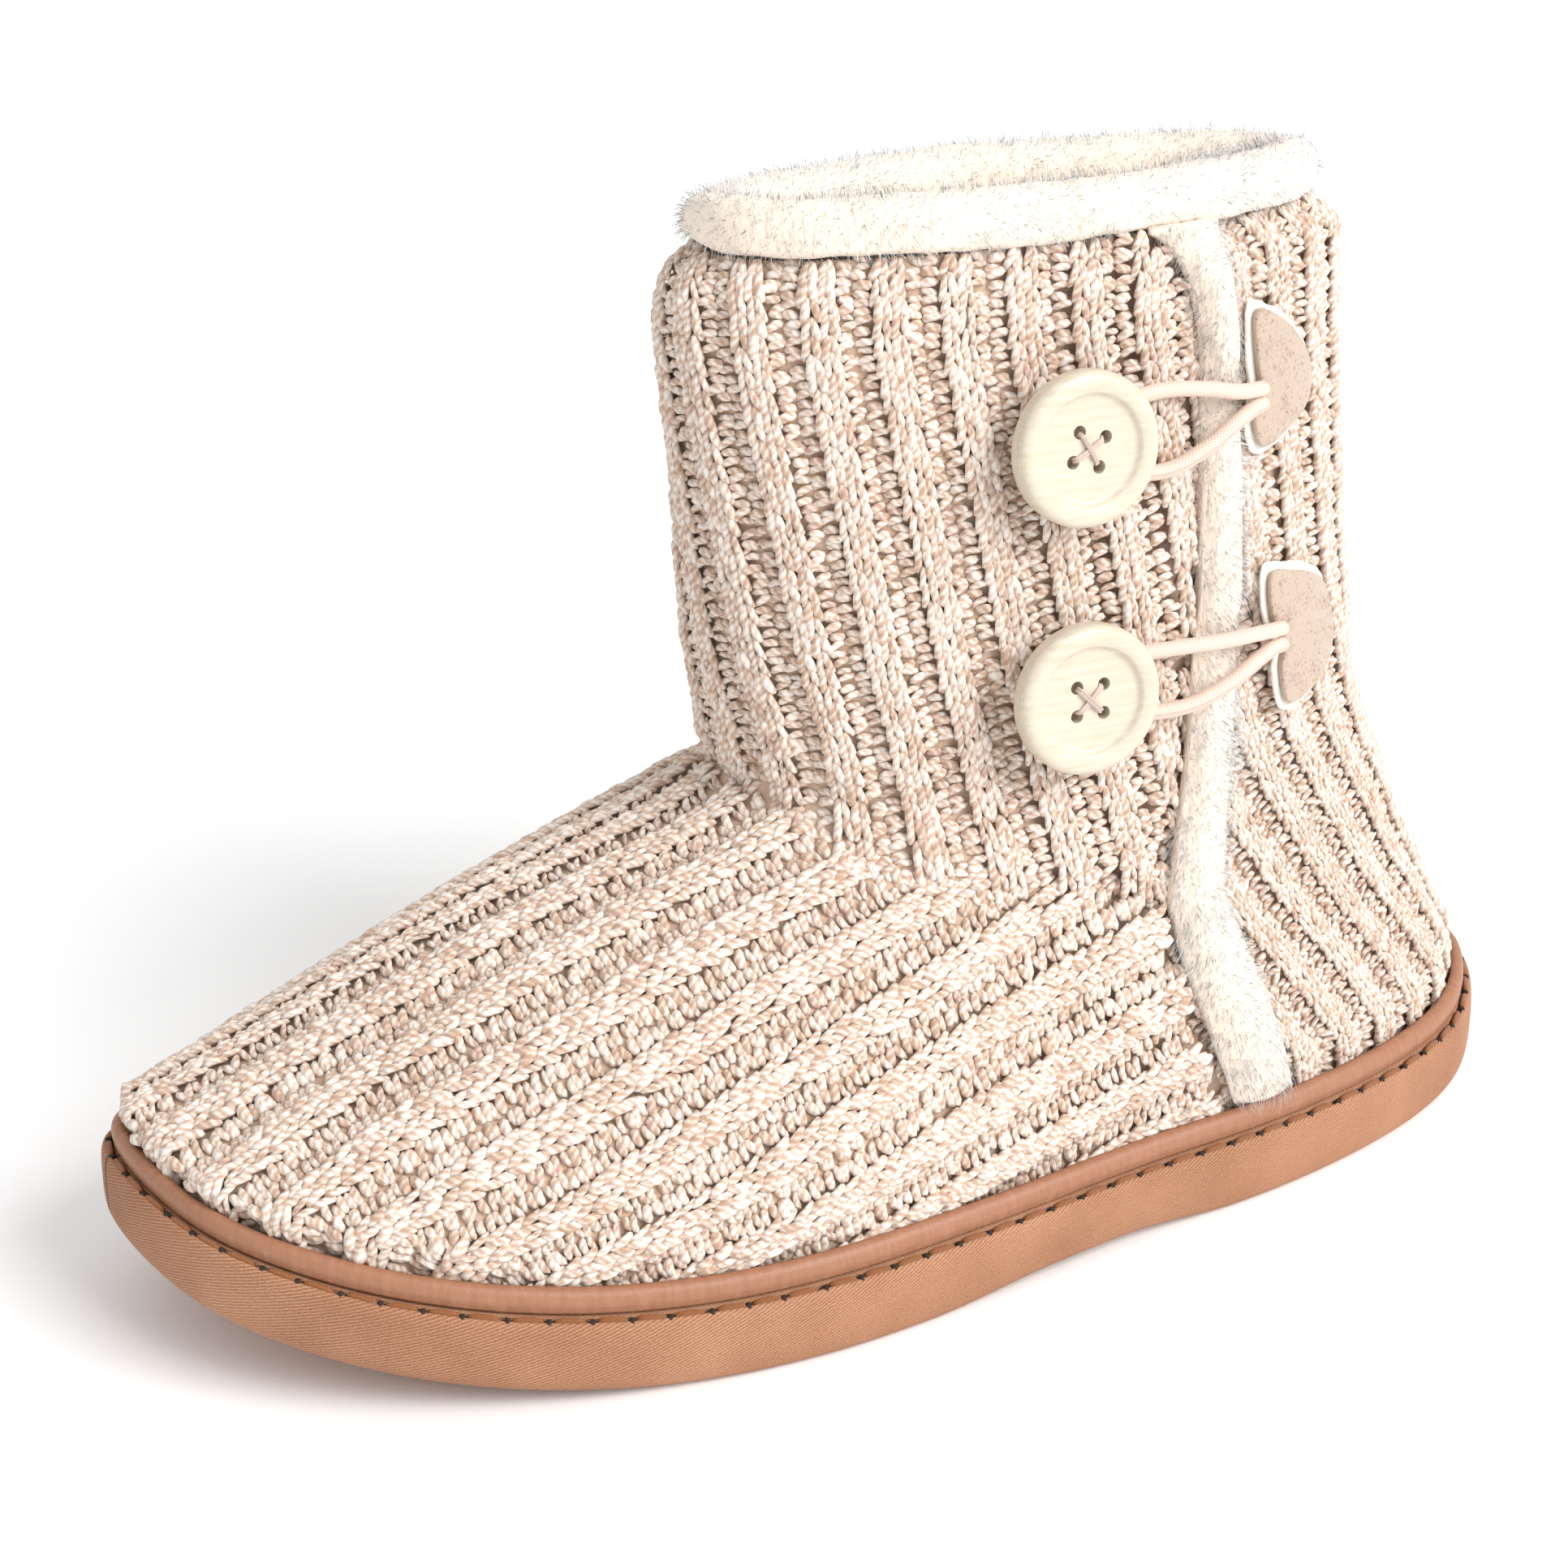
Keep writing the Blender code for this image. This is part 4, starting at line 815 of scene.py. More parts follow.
def pile_material():
    """Wool-like pile: matt with a soft sheen; painted warm shade at the roots, pale at the tips."""
    made, tree, shader = new_material("soft_polyester_pile", 0.9, Sheen_Weight=0.4)
    tone = node(tree, "ShaderNodeAttribute", attribute_name="tone").outputs["Fac"]
    node(tree, "ShaderNodeValToRGB", {"Fac": tone},
         to=shader.inputs["Base Color"], stops=[(0.1, "F6E6D5"), (0.3, "FDF6EC"), (0.6, "FFFEFB")])
    place = node(tree, "ShaderNodeTexCoord").outputs["Object"]
    drawn = node(tree, "ShaderNodeMapping", {"Vector": place, "Scale": (1.0, 1.0, 0.4)}).outputs["Vector"]
    strands = node(tree, "ShaderNodeTexNoise", {"Vector": drawn, "Scale": 1 / (1.1 * MM), "Detail": 5.0})
    node(tree, "ShaderNodeBump", {"Height": strands.outputs["Fac"], "Distance": 0.9 * MM, "Strength": 0.8},
         to=shader.inputs["Normal"])
    return made


PILE = pile_material()


def field_noise(points, scale, seed):
    """Three smooth random numbers from -1 to 1 over space: a sum of a few slanting waves."""
    waves = np.random.default_rng(seed)
    total = np.zeros((len(points), 3))
    for _ in range(7):
        direction = waves.normal(size=(3, 3)) / scale
        total += np.sin(points @ direction + waves.uniform(0, 6.3, 3))
    return total / 3.0


def plush(name, points, columns, slot_nodes, count, length, drape, flip=False, closed=True, where=None):
    """A plush piece: an under-layer from a grid of points, and hairs scattered over its faces."""
    rows = len(points) // columns
    faces = grid_faces(rows, columns, close_rows=True, close_columns=closed)
    if not closed:
        faces = faces[:rows * (columns - 1)]
    corner = points[faces]
    normal = np.cross(corner[:, 2] - corner[:, 0], corner[:, 3] - corner[:, 1])
    area = np.linalg.norm(normal, axis=1)
    normal = normal / (area[:, None] + 1e-12)
    if flip:
        normal = -normal
        faces = faces[:, ::-1]
    weight = area if where is None else area * where(corner.mean(1), normal)
    pick = rng.choice(len(faces), count, p=weight / weight.sum())
    a, b = rng.uniform(0, 1, (2, count, 1))
    c = corner[pick]
    root = (c[:, 0] * (1 - a) + c[:, 1] * a) * (1 - b) + (c[:, 3] * (1 - a) + c[:, 2] * a) * b
    out = normal[pick]
    lump = field_noise(root, 4.5 * MM, 11)
    lean = drape(root, out) + 0.55 * lump
    lean -= (lean * out).sum(-1, keepdims=True) * out
    size = length * (1 + 0.22 * rng.normal(size=count)) * (1 + 0.25 * lump[:, 0])
    hair, hair_faces, tone = hairs(
        root - out * 0.4 * MM, out, np.clip(size, 0.4 * length, 1.6 * length),
        rng.uniform(0.04, 0.08, count) * MM, lean, 0.22 * rng.normal(size=(count, 3)))
    # the under-layer gets the lowest tone, the warmest colour: painted shade under the hairs
    under = points, triangles(faces), np.full(len(points), 0.1)
    all_points, all_faces, all_tone = joined([under, (hair, hair_faces, tone)])
    piece = new_piece(name, all_points, all_faces, PILE, slot_nodes, tone=all_tone)
    # fine pile scatters light as a whole, so the hairs are lit by the under-layer's direction
    under_normal = np.zeros((len(points), 3))
    np.add.at(under_normal, faces.ravel(), np.repeat(normal * area[:, None], 4, axis=0))
    under_normal /= np.linalg.norm(under_normal, axis=1, keepdims=True) + 1e-12
    hair_normal = unit(out + 0.35 * lean + 0.25 * rng.normal(size=out.shape))
    piece.data.normals_split_custom_set_from_vertices(
        np.concatenate([under_normal, np.repeat(hair_normal, HAIR_POINTS, axis=0)]).tolist())


# %% Plush roll of the collar
# inward and height of the roll's section, in shares of its depth and of its rise or drop
ROLL = np.array([
    (0.06, 0.02), (-0.02, 0.10), (-0.05, 0.22), (-0.06, 0.55), (0.10, 0.88), (0.42, 0.96), (0.78, 0.78),
    (0.96, 0.30), (0.98, -0.55), (1.00, -1.6), (0.98, -2.6), (0.60, -2.6), (0.42, -1.0), (0.40, 0.02),
])


def roll_points(columns=320, fine=3):
    """The roll: its smooth section carried round the knit edge, lower on the inner side, lumpy."""
    turns = np.arange(columns) / columns
    edge = upper_plain(turns, np.full(columns, COLLAR_HEIGHT))
    along = np.roll(edge, -1, axis=0) - np.roll(edge, 1, axis=0)
    outward = unit(np.stack([along[:, 1], -along[:, 0]], -1))
    dip = 1 - 0.25 * smooth(0.5 - edge[:, 0] / COLLAR_WIDTH)
    knots = np.arange(len(ROLL))
    at = np.linspace(0, len(ROLL) - 1, fine * len(ROLL))
    section = np.stack([through(knots, ROLL[:, k], at) for k in range(2)], -1)
    rows = []
    for inward, high in section:
        rise = high * (0.95 * PLUSH_RISE * dip if high > 0 else PLUSH_DROP)
        plan = edge[:, :2] - outward * (inward * PLUSH_DEPTH)
        rows.append(np.column_stack([plan, np.full(columns, COLLAR_HEIGHT) + rise]))
    points = np.concatenate(rows)
    large, small = field_noise(points, 5 * MM, 5), field_noise(points, 2 * MM, 6)
    return points + large * 0.30 * MM + small * 0.16 * MM, columns


def roll_drape(root, out):
    """Hairs on the roll hang down outside and inside, and lie over at the top."""
    return np.stack([out[:, 0] * 0.25, out[:, 1] * 0.25, np.full(len(root), -0.55)], -1)


ROLL_HAIRS, ROLL_PILE, STRIP_HAIRS, STRIP_PILE = 16500, 1.9 * MM, 3600, 2.4 * MM
points, columns = roll_points()
plush("plush_roll", points, columns, ("plush_collar",), ROLL_HAIRS, ROLL_PILE, roll_drape,
      where=lambda centre, normal: np.where(centre[:, 2] < COLLAR_HEIGHT - 12 * MM, 0.35, 1.0))


# %% Plush strip of the lap
def strip_edges(z):
    share = share_of(z)
    lap = HALF * np.interp(share, LAP[:, 0], LAP[:, 1])
    back = lap + LAP_SLIT + GAP + HALF * np.interp(share, LAP[:, 0], LAP[:, 2])
    down = np.clip((COLLAR_HEIGHT - z) / CORNER_HEIGHT, 0, 1)
    rounding = CORNER_WIDTH * (1 - np.sqrt(1 - (1 - down) ** 2))
    return lap + LAP_SLIT + GAP - rounding, back


LOOP_HEIGHTS = (level(0.832) - 0.10 * TAB_HEIGHT, level(0.540) + 0.04 * TAB_HEIGHT)


def press(z):
    """Share of the strip's height that is left where an elastic crosses it."""
    return np.min([1 - 0.55 * np.exp(-((z - middle) / (2.2 * ELASTIC_WIDTH)) ** 2)
                   for middle in LOOP_HEIGHTS], axis=0)


def strip_points(rows=260, across=22):
    """The strip: a rounded section up the lap between its two edges, closed underneath."""
    z = np.linspace(WELT_TOP + 0.8 * MM, COLLAR_HEIGHT + 1.0 * MM, rows)
    front, back = strip_edges(np.minimum(z, COLLAR_HEIGHT - GAP))
    shares = np.linspace(0, 1, across)
    y = front[:, None] + (back - front)[:, None] * shares
    swell = np.sin(math.pi * np.clip(shares, 0.04, 0.96)) ** 0.55
    ends = np.sqrt(np.clip(np.sin(math.pi * (np.arange(rows) + 0.5) / rows), 0.1, 1))
    high = STRIP_HEIGHT * 0.95 * press(z)[:, None] * swell * np.minimum(1.0, 1.6 * ends)[:, None]
    high *= 1 + 0.5 * smooth((z - COLLAR_HEIGHT + CORNER_HEIGHT) / CORNER_HEIGHT)[:, None]
    level_z = np.minimum(np.broadcast_to(z[:, None], y.shape), COLLAR_HEIGHT)
    top, _ = side_point(y, level_z, high)
    top[..., 2] += z[:, None] - level_z
    low, _ = side_point(y[:, ::-1], level_z, np.full(y.shape, 0.1 * MM))
    low[..., 2] += z[:, None] - level_z
    ring = np.concatenate([top, low], axis=1)
    ring = np.concatenate([ring[:1] * 0 + ring[0].mean(0), ring, ring[-1:] * 0 + ring[-1].mean(0)])
    return ring.transpose(1, 0, 2).reshape(-1, 3), rows + 2


points, columns = strip_points()
plush("plush_strip_pile", points, columns, ("plush_strip",), STRIP_HAIRS, STRIP_PILE,
      lambda root, out: np.stack([out[:, 0] * 0, out[:, 1] * 0.1, np.full(len(root), -0.8)], -1),
      flip=True, closed=False, where=lambda centre, normal: 0.02 + (normal[:, 0] > 0.1))

# %% [markdown]
# ## Sole, welt and stitches
# The sole is a soft moulded foam with a fine twill print on its side, and a lip round its top. A seam
# runs in a groove just inside the lip: thick waxed thread, a stitch every 6.5 mm, each diving into a
# hole, drawn as a small near-black plug of painted shade. Above the seam the welt is a smooth, rounded
# strip. All of them are rings carried round the same outline, with the pattern's place measured along
# the edge, so the print keeps its size everywhere.


# %% Rings round the outline
AROUND = 640
EDGE_TURNS = np.linspace(0, 1, 4001)
edge_line = outline(EDGE_TURNS)
EDGE_ARC = np.concatenate([[0], np.cumsum(np.linalg.norm(np.diff(edge_line, axis=0), axis=1))])
PERIMETER = EDGE_ARC[-1]
EVEN_TURNS = np.interp(np.arange(AROUND) / AROUND * PERIMETER, EDGE_ARC, EDGE_TURNS)
print("outsole's edge is", round(PERIMETER / MM, 1), "mm round")


def fine_profile(corners, count):
    """A smooth line through corner points, with count points evenly spaced by corner number."""
    corners = np.asarray(corners, float)
    at = np.linspace(0, len(corners) - 1, count)
    return np.stack([through(np.arange(len(corners)), corners[:, k], at) for k in range(2)], -1)


def sole_ring(inset, height, arched=1.0, turns=EVEN_TURNS):
    """A ring inset from the outline; height is over the tread, and arched scales the waist's rise."""
    plan = outline(turns, inset)
    rise = lift(plan[:, 1]) + arched * arch(plan[:, 0], plan[:, 1])
    return np.column_stack([plan, rise + height])


def fan_in(ring, shares, keep_height):
    """Rings in towards the middle, at shares of an outer ring's size, each at keep_height(plan)."""
    plans = [ring[:, :2] * share for share in shares]
    return [np.column_stack([plan, keep_height(plan)]) for plan in plans]


def ring_solid(rings, uv_heights, flip=False):
    """Triangles of stacked rings, closed by a point at both ends. The uv is mm along and mm across."""
    count = len(rings[0])
    points = np.concatenate([rings[0].mean(0)[None], *rings, rings[-1].mean(0)[None]])
    faces = capped(len(rings), count, 0, len(points) - 1, start=1)
    if flip:
        faces = faces[:, ::-1]
    along = np.arange(count) / count * PERIMETER / MM
    bands = [np.column_stack([along, np.full(count, v)]) for v in uv_heights]
    uv = np.concatenate([[(0, uv_heights[0])], *bands, [(0, uv_heights[-1])]])
    return points, faces, uv


# %% Sole materials
def sole_material():
    """Matt tan foam: fine slanting twill on its side, worn a little darker in patches."""
    made, tree, shader = new_material("tan_foam_with_twill_print", 0.72, Specular_IOR_Level=0.35)
    uv = node(tree, "ShaderNodeUVMap", uv_map="Pattern").outputs["UV"]
    place = node(tree, "ShaderNodeTexCoord").outputs["Object"]
    wobble = node(tree, "ShaderNodeTexNoise", {"Vector": uv, "Scale": 0.9, "Detail": 3.0}).outputs["Fac"]
    turned = node(tree, "ShaderNodeMapping", {"Vector": uv, "Rotation": (0, 0, math.radians(-24))})
    twill = node(tree, "ShaderNodeTexWave", {"Vector": turned.outputs["Vector"], "Scale": 0.62,
                 "Distortion": 1.6, "Detail": 2.0, "Detail Scale": 1.4}, bands_direction="Y").outputs["Fac"]
    fine = node(tree, "ShaderNodeTexNoise",
                {"Vector": uv, "Scale": 2.6, "Detail": 3.0, "Roughness": 0.7}).outputs["Fac"]
    both = node(tree, "ShaderNodeMath", {0: twill, 1: 0.45, 2: fine}, operation="MULTIPLY_ADD").outputs[0]
    grain = node(tree, "ShaderNodeMath", {0: both, 1: 0.6}, operation="MULTIPLY").outputs[0]
    patches = node(tree, "ShaderNodeTexNoise", {"Vector": place, "Scale": 45.0, "Detail": 4.0})
    mixed = node(tree, "ShaderNodeMath", {0: patches.outputs["Fac"], 1: 0.45, 2: grain},
                 operation="MULTIPLY_ADD").outputs[0]
    node(tree, "ShaderNodeValToRGB", {"Fac": mixed},
         to=shader.inputs["Base Color"], stops=[(0.38, "7B5035"), (0.66, "A67556"), (0.92, "C49577")])
    soft = node(tree, "ShaderNodeBump", {"Height": wobble, "Distance": 0.10 * MM}).outputs["Normal"]
    node(tree, "ShaderNodeBump", {"Height": both, "Distance": 0.16 * MM, "Strength": 0.9, "Normal": soft},
         to=shader.inputs["Normal"])
    return made


def welt_material():
    """Smooth coated strip: tan, a soft sheen, fine pores and faint wrinkles across it."""
    made, tree, shader = new_material("smooth_tan_strip", 0.46, Specular_IOR_Level=0.45)
    uv = node(tree, "ShaderNodeUVMap", uv_map="Pattern").outputs["UV"]
    stretched = node(tree, "ShaderNodeMapping", {"Vector": uv, "Scale": (0.5, 0.12, 1.0)}).outputs["Vector"]
    wrinkle = node(tree, "ShaderNodeTexNoise",
                   {"Vector": stretched, "Scale": 1.6, "Detail": 4.0}).outputs["Fac"]
    pores = node(tree, "ShaderNodeTexVoronoi", {"Vector": uv, "Scale": 2.4}).outputs["Distance"]
    node(tree, "ShaderNodeValToRGB", {"Fac": wrinkle},
         to=shader.inputs["Base Color"], stops=[(0.25, "97664A"), (0.6, "A27155"), (0.85, "AD7E61")])
    soft = node(tree, "ShaderNodeBump", {"Height": wrinkle, "Distance": 0.04 * MM}).outputs["Normal"]
    node(tree, "ShaderNodeBump", {"Height": pores, "Distance": 0.05 * MM, "Strength": 0.6, "Normal": soft},
         to=shader.inputs["Normal"])
    return made


SOLE_FOAM, WELT_STRIP = sole_material(), welt_material()

# %% Outsole
# share of the welt's setback inwards, share of the sole's height, from under the edge to inside the lip
SOLE_SIDE = [
    (2.6, 0.0), (1.15, 0.0), (0.80, 0.012), (0.40, 0.05), (0.14, 0.11), (0.0, 0.20), (-0.06, 0.35),
    (-0.06, 0.62), (0.0, 0.80), (0.09, 0.885), (0.24, 0.945), (0.42, 0.965), (0.54, 0.945), (0.60, 0.90),
    (0.66, 0.875), (0.80, 0.875), (0.88, 0.90), (0.98, 0.985),
]
rings = fan_in(sole_ring(6 * MM, 0.0), (0.03, 0.3, 0.55, 0.78, 0.92),
               lambda plan: lift(plan[:, 1]) + arch(plan[:, 0], plan[:, 1]))
for inset, height in fine_profile(SOLE_SIDE, 64):
    arched = 1 - np.clip(height, 0, 1)
    rings.append(sole_ring(inset * WELT_SETBACK, height * SOLE_EDGE, arched))
rings += fan_in(sole_ring(6 * MM, SOLE_EDGE, 0.0), (1.0, 0.8, 0.4, 0.03),
                lambda plan: lift(plan[:, 1]) + SOLE_EDGE - GAP / 2)
step = np.linalg.norm(np.diff(np.stack([r[0] for r in rings]), axis=0), axis=1)
heights = np.concatenate([[0], np.cumsum(step)]) / MM
points, faces, uv = ring_solid(rings, heights)
new_piece("foam_outsole", points, faces, SOLE_FOAM, ("outsole",), uv=uv)

# %% Welt
# share of the welt's thickness inwards from its setback, share of its height
WELT_SIDE = [
    (0.95, 0.02), (0.10, 0.0), (-0.06, 0.22), (-0.12, 0.50), (0.02, 0.78), (0.30, 0.97), (0.66, 1.04),
    (0.95, 0.98),
]
rings = [sole_ring(WELT_SETBACK + inset * WELT_THICK, BASE + height * WELT_HEIGHT, 0.0)
         for inset, height in fine_profile(WELT_SIDE, 30)]
points = np.concatenate(rings)
faces = grid_faces(len(rings), AROUND, close_rows=True, close_columns=True)
along = np.tile(np.arange(AROUND) / AROUND * PERIMETER / MM, len(rings))
uv = np.column_stack([along, np.repeat(np.arange(len(rings)) * 0.3, AROUND)])
new_piece("welt_strip", points, faces, WELT_STRIP, ("welt",), uv=uv)


# %% Seam stitches in the groove
def capsule_chain(turns_from, turns_to, inset, height, radius, dip, steps=9, sides=8):
    """Thread stitches along the outline: each a tube whose ends dive by dip and narrow to a point."""
    s = np.linspace(0, 1, steps)
    turn = turns_from[:, None] + (turns_to - turns_from)[:, None] * s
    jitter = 0.12 * MM * rng.normal(size=(len(turns_from), 1)) * (2 * s - 1)
    plan = outline(turn.ravel(), (inset + jitter).ravel()).reshape(*turn.shape, 2)
    z = lift(plan[..., 1]) + height - dip * np.abs(2 * s - 1) ** 4
    line = np.concatenate([plan, z[..., None]], -1)
    forward = unit(np.gradient(line, axis=1))
    sideways = unit(np.cross(forward, (0, 0, 1.0)))
    above = np.cross(forward, sideways)
    angle = np.arange(sides) * 2 * math.pi / sides
    wide = radius * np.sqrt(np.clip(1 - (2 * s - 1) ** 6, 0.02, 1))
    ring = line[:, :, None] + wide[None, :, None, None] * circle(sideways, above, angle)
    n, ends = len(line), steps * sides
    points = np.concatenate([ring.reshape(n, -1, 3), line[:, [0, -1]]], axis=1)
    faces = repeated(capped(steps, sides, ends, ends + 1), n, ends + 2)
    stitch_mm = 5.5
    arc = np.repeat(s, sides)[None] * stitch_mm + rng.uniform(0, 40, (n, 1))
    uv = np.stack(np.broadcast_arrays(arc, np.tile(np.arange(sides) / sides, steps)[None]), -1)
    uv = np.concatenate([uv, uv[:, [0, -1]]], axis=1)
    return points.reshape(-1, 3), faces, uv.reshape(-1, 2)


def thread_material(name, dark, light, roughness=0.6, pitch=1.1):
    """Twisted thread: slanting lines of painted shade between its plies, from the piece's own uv."""
    made, tree, shader = new_material(name, roughness, Sheen_Weight=0.2)
    uv = node(tree, "ShaderNodeUVMap", uv_map="Pattern").outputs["UV"]
    slanted = node(tree, "ShaderNodeMapping",
                   {"Vector": uv, "Rotation": (0, 0, 0.5), "Scale": (pitch, 2.0, 1)}).outputs["Vector"]
    plies = node(tree, "ShaderNodeTexWave", {"Vector": slanted, "Scale": 1.0}).outputs["Fac"]
    fuzz = node(tree, "ShaderNodeTexNoise", {"Vector": uv, "Scale": 4.0, "Detail": 3.0}).outputs["Fac"]
    both = node(tree, "ShaderNodeMath", {0: fuzz, 1: 0.5, 2: plies}, operation="MULTIPLY_ADD").outputs[0]
    # the ramp's dark end falls in the ply grooves: painted shade there, with fuzz adding random tone
    node(tree, "ShaderNodeValToRGB", {"Fac": both},
         to=shader.inputs["Base Color"], stops=[(0.2, dark), (0.9, light)])
    node(tree, "ShaderNodeBump", {"Height": plies, "Distance": 0.12 * MM, "Strength": 0.8},
         to=shader.inputs["Normal"])
    return made


# the darker colour is painted shade in the grooves between the plies
SEAM_THREAD = thread_material("waxed_seam_thread", "703A15", "A9662B")
# the awl holes are near-black plugs: painted shade for the dark inside each hole
hole_shade_material, hole_shade_tree, hole_shade_shader = new_material("painted_shade_awl_hole", 0.9)
hole_shade_spots = node(hole_shade_tree, "ShaderNodeTexNoise", {"Scale": 3000.0})
node(hole_shade_tree, "ShaderNodeValToRGB", {"Fac": hole_shade_spots.outputs["Fac"]},
     to=hole_shade_shader.inputs["Base Color"], stops=[(0.3, "241D1C"), (0.8, "3A302C")])
STITCH_PITCH, STITCH_RADIUS, HOLE_RADIUS = 6.5 * MM, 0.54 * MM, 0.66 * MM
STITCHES = round(PERIMETER / STITCH_PITCH)
pitch = PERIMETER / STITCHES
starts = (np.arange(STITCHES) + 0.08 * rng.uniform(-1, 1, STITCHES)) * pitch
turns_from = np.interp(starts + 0.45 * MM, EDGE_ARC, EDGE_TURNS)
turns_to = np.interp(np.minimum(starts + pitch - 0.75 * MM, PERIMETER), EDGE_ARC, EDGE_TURNS)
GROOVE = 0.62 * WELT_SETBACK
points, faces, uv = capsule_chain(
    turns_from, turns_to, GROOVE, SOLE_EDGE * 0.972, STITCH_RADIUS, 0.6 * MM)
new_piece("seam_stitches", points, faces, SEAM_THREAD, uv=uv)
# one plug of painted shade in each hole between two stitches
hole_from = np.mod(starts - 0.15 * MM - 0.45 * MM, PERIMETER)
points, faces, uv = capsule_chain(
    np.interp(hole_from, EDGE_ARC, EDGE_TURNS), np.interp(hole_from + 0.9 * MM, EDGE_ARC, EDGE_TURNS),
    GROOVE - 0.15 * MM, SOLE_EDGE * 0.948, HOLE_RADIUS, 0.1 * MM, steps=5)
new_piece("seam_hole_shade", points, faces, hole_shade_material, uv=uv)

# %% Footbed
inset = UPPER_INSET + WALL + 3 * GAP
rings = fan_in(sole_ring(inset, BASE, 0.0), (0.03, 0.4, 0.8), lambda plan: lift(plan[:, 1]) + BASE)
rings += [sole_ring(inset + back, BASE + up * INSOLE_THICK, 0.0)
          for back, up in ((0.0, 0.0), (0.0, 0.8), (0.8 * MM, 1.0))]
rings += fan_in(sole_ring(inset + 3 * MM, BASE, 0.0), (1.0, 0.8, 0.6, 0.4, 0.2, 0.03),
                lambda plan: lift(plan[:, 1]) + BASE + INSOLE_THICK)
points, faces, uv = ring_solid(rings, np.arange(len(rings)) * 1.0)
footbed = new_piece("fleece_footbed", points, faces, FLEECE, ("insole",), uv=uv)

# %% [markdown]
# ## Buttons, loops and tabs
# The buttons are turned from pale wood and polished: a rounded rim, a sunk face, faint turning rings and
# a little grain. Pink-beige thread crosses their four holes and is wound into the shank behind. Each
# loop is a round braided elastic. The tabs are cut from suede on a backing of white fleece, whose edge
# shows all round.


# %% Tubes and lathe work
def tube(line, radius, sides=12):
    """A round closed tube along a line of points, with a rounded end at both ends, and its uv."""
    line = np.asarray(line, float)
    forward = unit(np.gradient(line, axis=0))
    side = unit(np.cross(forward, (0.31, 0.22, 0.93)))
    above = np.cross(forward, side)
    around = circle(side, above, np.arange(sides) * 2 * math.pi / sides)
    bends = (0.5, 1.0, 1.35)
    first, last = (
        [line[end] + sign * forward[end] * radius * math.sin(a) + radius * math.cos(a) * around[end]
         for a in angles] for end, sign, angles in ((0, -1, bends[::-1]), (-1, 1, bends)))
    rings = np.concatenate([first, line[:, None] + radius * around, last])
    steps = np.linalg.norm(np.diff(rings.mean(1), axis=0), axis=1)
    arc = np.concatenate([[0], np.cumsum(steps)]) / MM
    count = len(rings) * sides
    points = np.concatenate([rings.reshape(-1, 3), rings[0].mean(0)[None], rings[-1].mean(0)[None]])
    uv = np.column_stack([np.repeat(arc, sides), np.tile(np.arange(sides) / sides, len(rings))])
    return points, capped(len(rings), sides, count, count + 1), np.concatenate([uv, uv[[0, -1]]])


def lathe(profile, segments=96):
    """A profile of (radius, height) pairs turned about z; its ends lie on the axis."""
    profile = np.asarray(profile, float)
    angle = np.arange(segments) * 2 * math.pi / segments
    ring = np.stack([np.cos(angle), np.sin(angle)], -1)
    body = [np.column_stack([r * ring, np.full(segments, z)]) for r, z in profile[1:-1]]
    points = np.concatenate([[(0, 0, profile[0, 1])], *body, [(0, 0, profile[-1, 1])]])
    return points, capped(len(profile) - 2, segments, 0, len(points) - 1, start=1)


# %% Wood, elastic, suede and fleece
def wood_material(place):
    """Pale polished wood: grain across the disc and turning rings round it; place is its matrix."""
    made, tree, shader = new_material("pale_polished_wood", 0.38, Specular_IOR_Level=0.45, Coat_Weight=0.15)
    centre, turn = place.to_translation(), place.inverted().to_euler()
    at = node(tree, "ShaderNodeTexCoord").outputs["Object"]
    moved = node(tree, "ShaderNodeVectorMath", {0: at, 1: tuple(-centre)}, operation="ADD").outputs[0]
    local = node(tree, "ShaderNodeMapping",
                 {"Vector": moved, "Rotation": tuple(turn), "Scale": (1000, 1000, 1000)}).outputs["Vector"]
    stretched = node(tree, "ShaderNodeMapping",
                     {"Vector": local, "Scale": (0.10, 0.9, 0.9)}).outputs["Vector"]
    grain = node(tree, "ShaderNodeTexNoise",
                 {"Vector": stretched, "Scale": 1.3, "Detail": 5.0, "Roughness": 0.6}).outputs["Fac"]
    rings = node(tree, "ShaderNodeTexWave", {"Vector": local, "Scale": 1.1, "Distortion": 0.6},
                 wave_type="RINGS", rings_direction="Z").outputs["Fac"]
    pores = node(tree, "ShaderNodeTexNoise",
                 {"Vector": stretched, "Scale": 9.0, "Detail": 2.0}).outputs["Fac"]
    shade = node(tree, "ShaderNodeMath", {0: rings, 1: 0.10, 2: grain}, operation="MULTIPLY_ADD")
    node(tree, "ShaderNodeValToRGB", {"Fac": shade.outputs[0]},
         to=shader.inputs["Base Color"], stops=[(0.25, "C3B59C"), (0.52, "D0C5B0"), (0.80, "D8D0BF")])
    soft = node(tree, "ShaderNodeBump",
                {"Height": rings, "Distance": 0.02 * MM, "Strength": 0.6}).outputs["Normal"]
    node(tree, "ShaderNodeBump", {"Height": pores, "Distance": 0.02 * MM, "Strength": 0.5, "Normal": soft},
         to=shader.inputs["Normal"])
    return made


